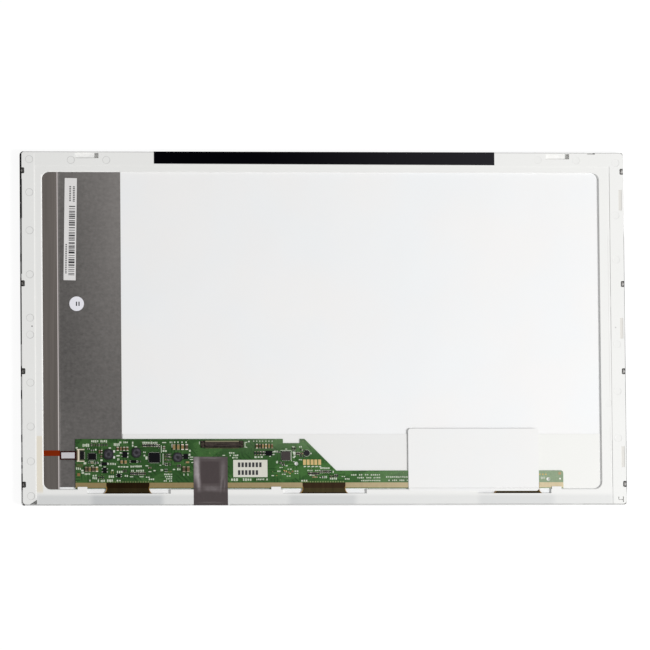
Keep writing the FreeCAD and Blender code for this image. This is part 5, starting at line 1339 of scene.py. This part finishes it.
@dataclass
class ChipParts:
    """Chip parts of one kind: fired bodies in a few tints between plated ends, some duller than others."""
    kind: ChipKind
    plating: tuple[Colour, ...] = ((142, 135, 114), (134, 127, 108), (206, 200, 188))

    def build(self) -> None:
        """Draws a body and an end tint for each block of the solid and puts the dressed parts there."""
        node, shown, slot = self.kind.value
        lows, highs = boxes_of(node)
        draw = np.random.default_rng(len(lows))
        palette, ends = (np.array([linear(c) for c in colours]) for colours in (shown, self.plating))
        tint = palette[draw.integers(len(palette), size=len(lows))] * draw.uniform(0.85, 1.15, (len(lows), 1))
        plating = ends[draw.integers(len(ends), size=len(lows))]
        finish = CERAMIC if self.kind is ChipKind.CAPACITOR else GLAZED
        shape = chip_shapes(lows, highs, tint, plating)
        add_piece(f"{node}_dressed", shape, finish, stands_for=(node,))


TintedPlaces = tuple[tuple[Colour, tuple[tuple[float, float, float, float], ...]], ...]


@dataclass
class BoardDetails:
    """Small parts between the larger ones: chip parts with plated ends, and flat lands.

    Both are given by tint, each place with its middle and its size.
    """
    top: float = BOARD_TOP
    chip_height: float = 0.38
    land_height: float = 0.03
    plating: tuple[Colour, ...] = ((120, 122, 112), (190, 192, 182))
    chips: TintedPlaces = (
        ((34, 36, 34), ((-140.3, -71.5, 1.3, 0.84), (-138.0, -72.4, 1.52, 0.99), (-135.4, -79.7, 1.52, 1.37),
            (-140.2, -79.5, 0.84, 0.99), (-27.6, -73.5, 1.37, 0.84), (-18.6, -72.5, 1.14, 0.91),
            (-16.4, -74.2, 0.76, 1.52), (-14.5, -75.9, 1.68, 0.91), (-12.5, -76.3, 0.76, 1.14),
            (-14.4, -72.1, 0.76, 1.14), (-26.9, -79.8, 0.84, 1.3), (-25.0, -81.1, 1.52, 0.99),
            (-107.6, -69.4, 0.84, 1.68), (-106.3, -69.5, 0.84, 1.68), (-104.9, -69.4, 0.84, 1.68),
            (-102.9, -69.3, 0.91, 1.68), (-101.4, -69.3, 0.91, 1.68), (-100.0, -69.3, 0.84, 1.52),
            (-98.7, -70.4, 0.76, 1.75), (-87.0, -81.7, 0.57, 1.52), (-86.0, -81.6, 0.57, 1.45),
            *((x, -86.3, 0.91, 1.45) for x in (-114.8, -113.4, -112.0, -110.7, -109.3)),
            (-108.1, -86.3, 0.84, 1.45), (-110.2, -79.0, 1.68, 0.99), (-93.9, -75.6, 1.07, 1.14),
            (-93.8, -80.8, 0.76, 1.52), (-94.8, -80.8, 0.69, 1.3),
            *((x, -84.9, 0.53, 1.45) for x in (-2.7, -1.7, -0.8, 0.2, 1.1, 2.1)), (3.0, -85.0, 0.53, 1.45),
            (-9.5, -86.3, 0.53, 1.37), (-8.5, -86.3, 0.53, 1.37),
            *((x, -86.4, 0.53, 1.37) for x in (-7.2, -5.9, -4.8)), (-3.9, -86.3, 0.53, 1.37),
            (5.4, -87.6, 0.53, 1.75), (6.3, -87.5, 0.53, 1.75), (7.2, -87.5, 0.53, 1.75),
            (-2.2, -88.3, 0.5, 1.3), (-0.9, -88.3, 0.5, 1.3))),
        ((126, 122, 100), ((-138.1, -79.7, 2.13, 1.37),)),
        ((150, 128, 92), ((-13.9, -74.4, 1.98, 0.76),)),
        ((54, 56, 52), ((-92.7, -75.5, 0.84, 1.52), (-93.3, -78.0, 1.14, 0.84), (-92.1, -80.8, 0.91, 1.22),
            (-95.0, -84.3, 0.57, 1.83), (-94.0, -84.3, 0.57, 1.83))),
        ((108, 96, 84), ((-95.6, -70.8, 1.37, 1.83), (-104.2, -82.7, 1.6, 0.99))))
    lands: TintedPlaces = (
        ((198, 203, 190), ((-136.0, -72.0, 0.91, 0.91), (-134.6, -79.8, 0.5, 0.76),
            (-128.7, -80.4, 0.76, 0.76), (-121.2, -73.9, 1.22, 0.69), (-117.4, -74.2, 1.6, 0.84),
            (-117.4, -76.3, 1.07, 0.91), (-122.5, -75.5, 1.37, 0.61), (-112.3, -70.3, 1.45, 0.53),
            (-35.1, -73.3, 0.61, 0.69), (-35.1, -74.9, 0.61, 0.69), (-30.5, -73.3, 0.61, 0.69),
            (-30.5, -74.9, 0.61, 0.69), (-32.8, -76.0, 0.99, 0.46), (-18.4, -74.0, 1.45, 1.14),
            (-18.3, -75.1, 1.22, 0.53), (-18.2, -76.1, 1.07, 0.61), (-8.5, -74.3, 0.61, 0.84),
            (-20.0, -78.6, 0.46, 0.38), (-18.7, -79.2, 0.91, 0.42), (-90.8, -69.6, 0.72, 2.21),
            (-91.9, -74.7, 0.69, 0.61), (-45.3, -67.2, 0.91, 0.84),
            *((x, -82.0, 1.3, 0.53) for x in (-12.2, -9.8, -7.4)), (-5.1, -82.0, 1.22, 0.53),
            (-3.0, -82.0, 0.91, 0.5), (4.6, -85.2, 0.65, 1.22),
            *((x, -88.3, 0.46, 1.3) for x in (-1.6, -0.3, 0.6)))),
        ((76, 68, 28), ((-145.5, -80.7, 3.43, 0.34), (-145.5, -81.4, 3.81, 0.3), (-145.5, -82.1, 3.81, 0.3))),
        ((150, 150, 138), ((-136.4, -80.4, 0.76, 0.53), (-139.5, -90.2, 0.84, 1.07),
            (-28.8, -73.3, 0.69, 0.69), (-15.5, -74.2, 0.46, 1.3), (-17.1, -74.2, 0.46, 1.3),
            (-13.6, -72.3, 0.53, 1.22))),
        ((112, 110, 54), ((-126.9, -85.4, 0.38, 1.45), (-125.6, -85.5, 0.38, 1.45),
            (-94.9, -76.0, 0.57, 0.91), (-91.8, -76.3, 0.76, 0.76), (-94.7, -77.8, 0.91, 0.76),
            (-91.7, -78.0, 0.76, 0.69), (-92.8, -85.1, 0.61, 0.53), (-91.6, -85.0, 0.57, 0.53))),
        ((182, 152, 78), ((-24.4, -84.5, 0.76, 0.76), (-23.2, -84.8, 0.69, 0.91), (-21.9, -85.4, 0.84, 0.69),
            (-21.0, -86.1, 0.65, 0.65), (-19.4, -84.9, 0.76, 0.76), (-5.4, -88.2, 0.61, 0.5))),
        ((150, 118, 60), ((-29.0, -87.3, 0.76, 0.34),)),
        ((122, 112, 98), ((-89.4, -69.5, 0.61, 1.75),)),
        ((158, 138, 88), ((-6.3, -88.2, 0.99, 0.76),)),
        ((98, 106, 72), ((3.4, -88.1, 1.3, 1.45),)))

    def corners(self, groups: TintedPlaces, height: float) -> tuple[np.ndarray, np.ndarray, np.ndarray]:
        """Lowest and highest corners and tints of blocks given by their middles and sizes in x and y.

        Args:
            groups: middles and sizes by shown colour.
            height: how far the blocks stand above the board.

        Returns:
            Three arrays, one row a block.
        """
        places = [place for _, group in groups for place in group]
        tints = np.array([linear(colour) for colour, group in groups for _ in group])
        return *standing(places, self.top, height), tints

    def build(self) -> None:
        """Adds the chip parts and the lands."""
        low, high, tints = self.corners(self.chips, self.chip_height)
        draw = np.random.default_rng(7)
        ends = np.array([linear(c) for c in self.plating])[draw.integers(len(self.plating), size=len(low))]
        add_piece("small_chips", chip_shapes(low, high, tints, ends), GLAZED)
        low, high, tints = self.corners(self.lands, self.land_height)
        add_piece("small_lands", slabs(low, high, 0.01).coloured(tints, 0.1), PLATED)


@dataclass
class Sockets:
    """LED socket with its flip latch, and the display cable's socket."""

    def build(self) -> None:
        """Dresses both sockets."""
        dress(CREAM, "led_socket_housing")
        dress(DARK_NYLON, "led_socket_latch", "display_socket_housing")
        dress(TINNED, "led_socket_contacts")
        dress(CONTACTS, "display_socket_contacts")
        dress(SHELL, "display_socket_shell")


@dataclass
class SourceFilms:
    """Brown films that carry the source drivers round the bottom edge."""

    def build(self) -> None:
        """Dresses the films and their driver chips."""
        dress(SOURCE, "source_film_left", "source_film_middle", "source_film_right")
        dress(EPOXY, "driver_chips")


Route = tuple[tuple[float, float, int], ...]


def followed(route: Route) -> tuple[np.ndarray, np.ndarray]:
    """Points and normals along a route of straight legs across the panel.

    Each leg is cut into equal steps, and a normal is the run's direction turned by a quarter.

    Args:
        route: y, z and number of steps of each leg's end, beginning with the start.

    Returns:
        Points in y and z and unit normals, one row each.
    """
    corners = np.array([leg[:2] for leg in route])
    runs = [np.linspace(a, b, leg[2], endpoint=False)
            for a, b, leg in zip(corners, corners[1:], route[1:])]
    path = np.concatenate([*runs, corners[-1:]])
    way = np.gradient(path, axis=0)
    return path, np.stack([way[:, 1], -way[:, 0]], 1) / np.linalg.norm(way, axis=1, keepdims=True)


def laid_sheet(x: np.ndarray, y: np.ndarray, z: np.ndarray, normal: np.ndarray, stand: np.ndarray) -> Shape:
    """A sheet laid along a route: its upper face stands off the lower one along the route's normals.

    Args:
        x: places across the route.
        y: lower face's places along the route, for each point of it or for each of its points and x.
        z: lower face's heights, one row each point of the route.
        normal: unit normals in y and z, one row each.
        stand: distance of the upper face by point and x.

    Returns:
        The closed sheet.
    """
    bottom = np.stack(np.broadcast_arrays(x[None], y, z), -1)
    top = bottom.copy()
    top[..., 1:] += normal[:, None] * stand[..., None]
    return sheet_between(*(face[::-1].transpose(1, 0, 2) for face in (top, bottom)))


def rise(value: np.ndarray, start: float, stop: float) -> np.ndarray:
    """Smooth rise from nought at start to one at stop: three squares less two cubes of the share."""
    share = np.clip((value - start) / (stop - start), 0, 1)
    return share * share * (3 - 2 * share)


@dataclass
class TopTape:
    """Black tape laid a little askew over the top edge, from the bezel's wall to the frame's rear."""
    left: float = -100.4
    right: float = 102.35
    columns: int = 82
    thickness: float = 0.1
    edge: float = 104.3
    askew: Place = (0.35, 0.45)
    ripple: float = 0.008
    route: Route = ((104.75, 1.5, 0), (104.75, 4.4, 8), (104.3, 5.2, 6), (97.85, 5.2, 24))

    def build(self) -> None:
        """Carries the tape along its route.

        Its free edge runs lower from left to right, by 0.35 to 0.8 mm, and slow waves lift its upper face.
        """
        path, normal = followed(self.route)
        x = np.linspace(self.left, self.right, self.columns)
        lapped = np.clip((self.edge - path[:, :1]) / (self.edge - path[-1, 0]), 0, 1)
        least, more = self.askew
        y = path[:, :1] - lapped * (least + more * (x - self.left) / (self.right - self.left))
        stand = self.thickness + self.ripple * np.sin(0.21 * x + 0.9 * y) * np.cos(0.07 * x)
        shape = laid_sheet(x, y, path[:, 1:], normal, stand)
        add_piece("top_tape_laid", shape, BLACK_TAPE, stands_for=("top_tape",))


@dataclass
class GroundingTape:
    """Grey conductive tape that runs from the board over the bottom rail and down the bezel wall."""
    left: float = -78.2
    right: float = -58.0
    thickness: float = 0.1
    columns: int = 56
    route: Route = (
        (-76.2, BOARD_TOP, 0), (-94.4, BOARD_TOP, 56), (-95.4, 5.0, 8), (-104.3, 5.0, 30),
        (-104.75, 4.4, 6), (-104.75, 1.5, 10))

    def build(self) -> None:
        """Carries the tape's section along its route.

        The lower face follows the route. The upper one stands off it along the route's normal by the
        tape's thickness and a relief: a pressed field, a lifted left fold, creases and small wrinkles.
        """
        path, normal = followed(self.route)
        x = np.linspace(self.left, self.right, self.columns)
        y = path[:, :1]
        along = np.arange(len(path))[:, None] / len(path)
        pressed = rise(x, -74.0, -73.0) * rise(x, -62.2, -63.2)
        pressed = pressed * rise(y, -92.6, -91.6) * rise(y, -78.2, -79.2)
        fold = np.exp(-((x + 75.9) / 0.9) ** 2) * rise(y, -97.5, -93.0)
        creases = np.exp(-((y + 98.2 + 0.12 * (x + 67)) / 0.35) ** 2)
        creases = creases + 0.7 * np.exp(-((y + 102.9) / 0.25) ** 2)
        wrinkles = 0.5 + 0.5 * np.sin(x * 1.9 + 3 * np.sin(y * 0.7)) * np.cos(y * 1.3 + np.sin(x * 0.8))
        relief = 0.05 * (1 - pressed) + 0.16 * fold + 0.05 * creases + 0.025 * wrinkles
        stand = self.thickness * 0.4 + relief * rise(along, 1.0, 0.75)
        stand = stand * np.where(along > 0.84, 0.8, 1.0)
        shape = laid_sheet(x, y, path[:, 1:], normal, stand)
        add_piece("grounding_tape_creased", shape, GROUND_TAPE, stands_for=("grounding_tape",))


@dataclass
class Labels:
    """Paper labels with plain bars, and the white cover sheet over the board."""
    plate_top: float = 4.2
    board_top: float = 4.7
    ink: float = 0.012
    edge: float = 0.004
    corner: Place = (-154.35, 28.4)
    turn: float = -1.05
    bar_count: int = 34
    bar_across: Place = (4.6, 3.6)
    bar_heights: tuple[float, ...] = (0.4, 0.6, 0.85, 1.2)
    bar_odds: tuple[float, ...] = (0.4, 0.3, 0.2, 0.1)
    bar_gaps: tuple[float, ...] = (0.4, 0.6, 0.9)
    bar_start: float = 2.6
    bar_run: float = 41.5
    tick_columns: tuple[tuple[float, float, float, int], ...] = (
        (3.3, 1.0, 46.9, 9), (5.5, 1.2, 46.7, 9), (1.35, 0.9, 4.0, 17))
    tick_pitch: float = 1.05
    tick_long: float = 0.58
    stroke_rows: tuple[tuple[float, int], ...] = ((-81.0, 7), (-85.6, 6))

    def bars(self) -> Shape:
        """Bars across the long label, with rows of ticks beside them.

        Bar heights and gaps come from one seeded draw, and ticks are spaced evenly.
        """
        draw = np.random.default_rng(156)
        heights = draw.choice(self.bar_heights, self.bar_count, p=self.bar_odds)
        tops = np.cumsum(heights + draw.choice(self.bar_gaps, self.bar_count))
        tops = tops / tops[-1] * self.bar_run + self.bar_start
        middle, width = self.bar_across
        rows = [(middle, y, width, height) for y, height in zip(tops - heights / 2, heights)]
        rows += [(middle, start + self.tick_pitch * k + self.tick_long / 2, width, self.tick_long)
                 for middle, width, start, count in self.tick_columns for k in range(count)]
        places = np.array(rows) + [*self.corner, 0, 0]
        return slabs(*standing(places, self.plate_top, self.ink), self.edge).turned(self.corner, self.turn)

    def strokes(self) -> Shape:
        """Two rows of plain strokes on the board label and a pair on the round one."""
        rows = [(-51.2 + 2.1 * k, y, 1.4, 2.8) for y, count in self.stroke_rows for k in range(count)]
        pair = [(x, 14.35, 0.7, 2.5) for x in (-146.75, -145.25)]
        return joined([slabs(*standing(rows, self.board_top, self.ink), self.edge),
                       slabs(*standing(pair, self.plate_top, self.ink), self.edge)])

    def build(self) -> None:
        """Dresses the labels and cover and adds the plain print."""
        dress(LABEL, "long_label")
        dress(ROUND_LABEL, "round_label")
        dress(BOARD_LABEL, "board_label")
        dress(COVER, "cover_sheet")
        add_piece("long_label_bars", self.bars(), INK)
        add_piece("label_strokes", self.strokes(), INK)


@dataclass
class Studio:
    """Pale floor, soft light from the right, and the camera above the panel."""
    camera_place: Colour = (-560.49, -475.58, 5292.86)
    camera_aim: Colour = (0.438, 1.806, 5.2)
    camera_roll: float = -0.507
    lens: float = 500.0
    lamp_place: Colour = (1500.0, -500.0, 1400.0)
    lamp_size: float = 600.0
    lamp_power: float = 37.5
    sky: float = 0.45
    floor_size: float = 6000.0
    floor_height: float = -0.05
    floor_tone: float = 0.14
    floor_glow: float = 0.905

    def build(self) -> None:
        """Adds the camera, lamp, sky and floor."""
        bpy.context.scene.view_settings.view_transform = "Standard"
        self.add_camera()
        self.add_lamp()
        self.add_sky()
        self.add_floor()

    def add_camera(self) -> None:
        """Aims a long lens at the panel's middle, with the panel's top edge up, and rolls it."""
        data = bpy.data.cameras.new("camera")
        data.lens, data.clip_end = self.lens, 100.0
        camera = linked("camera", data)
        camera.location = Vector(self.camera_place) * MM
        back = (camera.location - Vector(self.camera_aim) * MM).normalized()
        right = Vector((0, 1, 0)).cross(back).normalized()
        turn = Matrix((right, back.cross(right), back)).transposed()
        roll = Quaternion((0, 0, 1), np.radians(self.camera_roll))
        camera.rotation_mode = "QUATERNION"
        camera.rotation_quaternion = turn.to_quaternion() @ roll
        bpy.context.scene.camera = camera

    def add_lamp(self) -> None:
        """Puts one square lamp at the right."""
        data = bpy.data.lights.new("key_lamp", "AREA")
        data.shape, data.size, data.energy = "SQUARE", self.lamp_size * MM, self.lamp_power
        lamp = linked("key_lamp", data)
        lamp.location = Vector(self.lamp_place) * MM
        lamp.rotation_euler = (-lamp.location).to_track_quat("-Z", "Y").to_euler()

    @staticmethod
    def seen(graph: Graph) -> Value:
        """One for rays that show the background: from the camera, off gloss or through glass."""
        path = graph.node("ShaderNodeLightPath").outputs
        camera, gloss, through = (Value(graph, path[f"Is {kind} Ray"]) for kind in (
            "Camera", "Glossy", "Transmission"))
        return camera.most(gloss).most(through)

    def add_sky(self) -> None:
        """Lights from all round, and shows white."""
        world = bpy.data.worlds.new("sky")
        world.use_nodes = True
        graph = Graph(world.node_tree)
        background = world.node_tree.nodes["Background"]
        graph.feed(background.inputs["Color"], (1.0, 1.0, 1.0))
        graph.feed(background.inputs["Strength"], self.sky + (1 - self.sky) * self.seen(graph))
        bpy.context.scene.world = world

    def add_floor(self) -> None:
        """Lays a pale sheet that shows the shadow, glows for the camera and is clear from below."""
        half = self.floor_size / 2
        points = np.array([[side * half, end * half, self.floor_height]
                           for side, end in ((-1, -1), (1, -1), (1, 1), (-1, 1))])
        mesh = bpy.data.meshes.new("floor")
        mesh.from_pydata((points * MM).tolist(), [], [[0, 1, 2, 3]])
        material = bpy.data.materials.new("floor_white")
        material.use_nodes = True
        graph = Graph(material.node_tree)
        graph.surface({"Base Color": (self.floor_tone,) * 3, "Roughness": 0.9, "Specular IOR Level": 0.0,
                       "Emission Color": graph.toned((1.0, 1.0, 1.0), self.seen(graph)),
                       "Emission Strength": self.floor_glow,
                       "Alpha": 1 - graph.value("ShaderNodeNewGeometry", output="Backfacing")})
        mesh.materials.append(material)
        linked("floor", mesh)


def main() -> None:
    """Builds and dresses the panel's sub-assemblies, then sets up the studio."""
    logging.basicConfig(level=logging.INFO, format="%(message)s")
    parts = [Housing(), DisplayStack(), LightBar(), ControlBoard(), *map(ChipParts, ChipKind),
             BoardDetails(), Sockets(), SourceFilms(), TopTape(), GroundingTape(), Labels(), Studio()]
    for part in parts:
        LOG.info("building %s", type(part).__name__)
        part.build()
    bpy.context.view_layer.update()


if __name__ == "__main__":
    main()
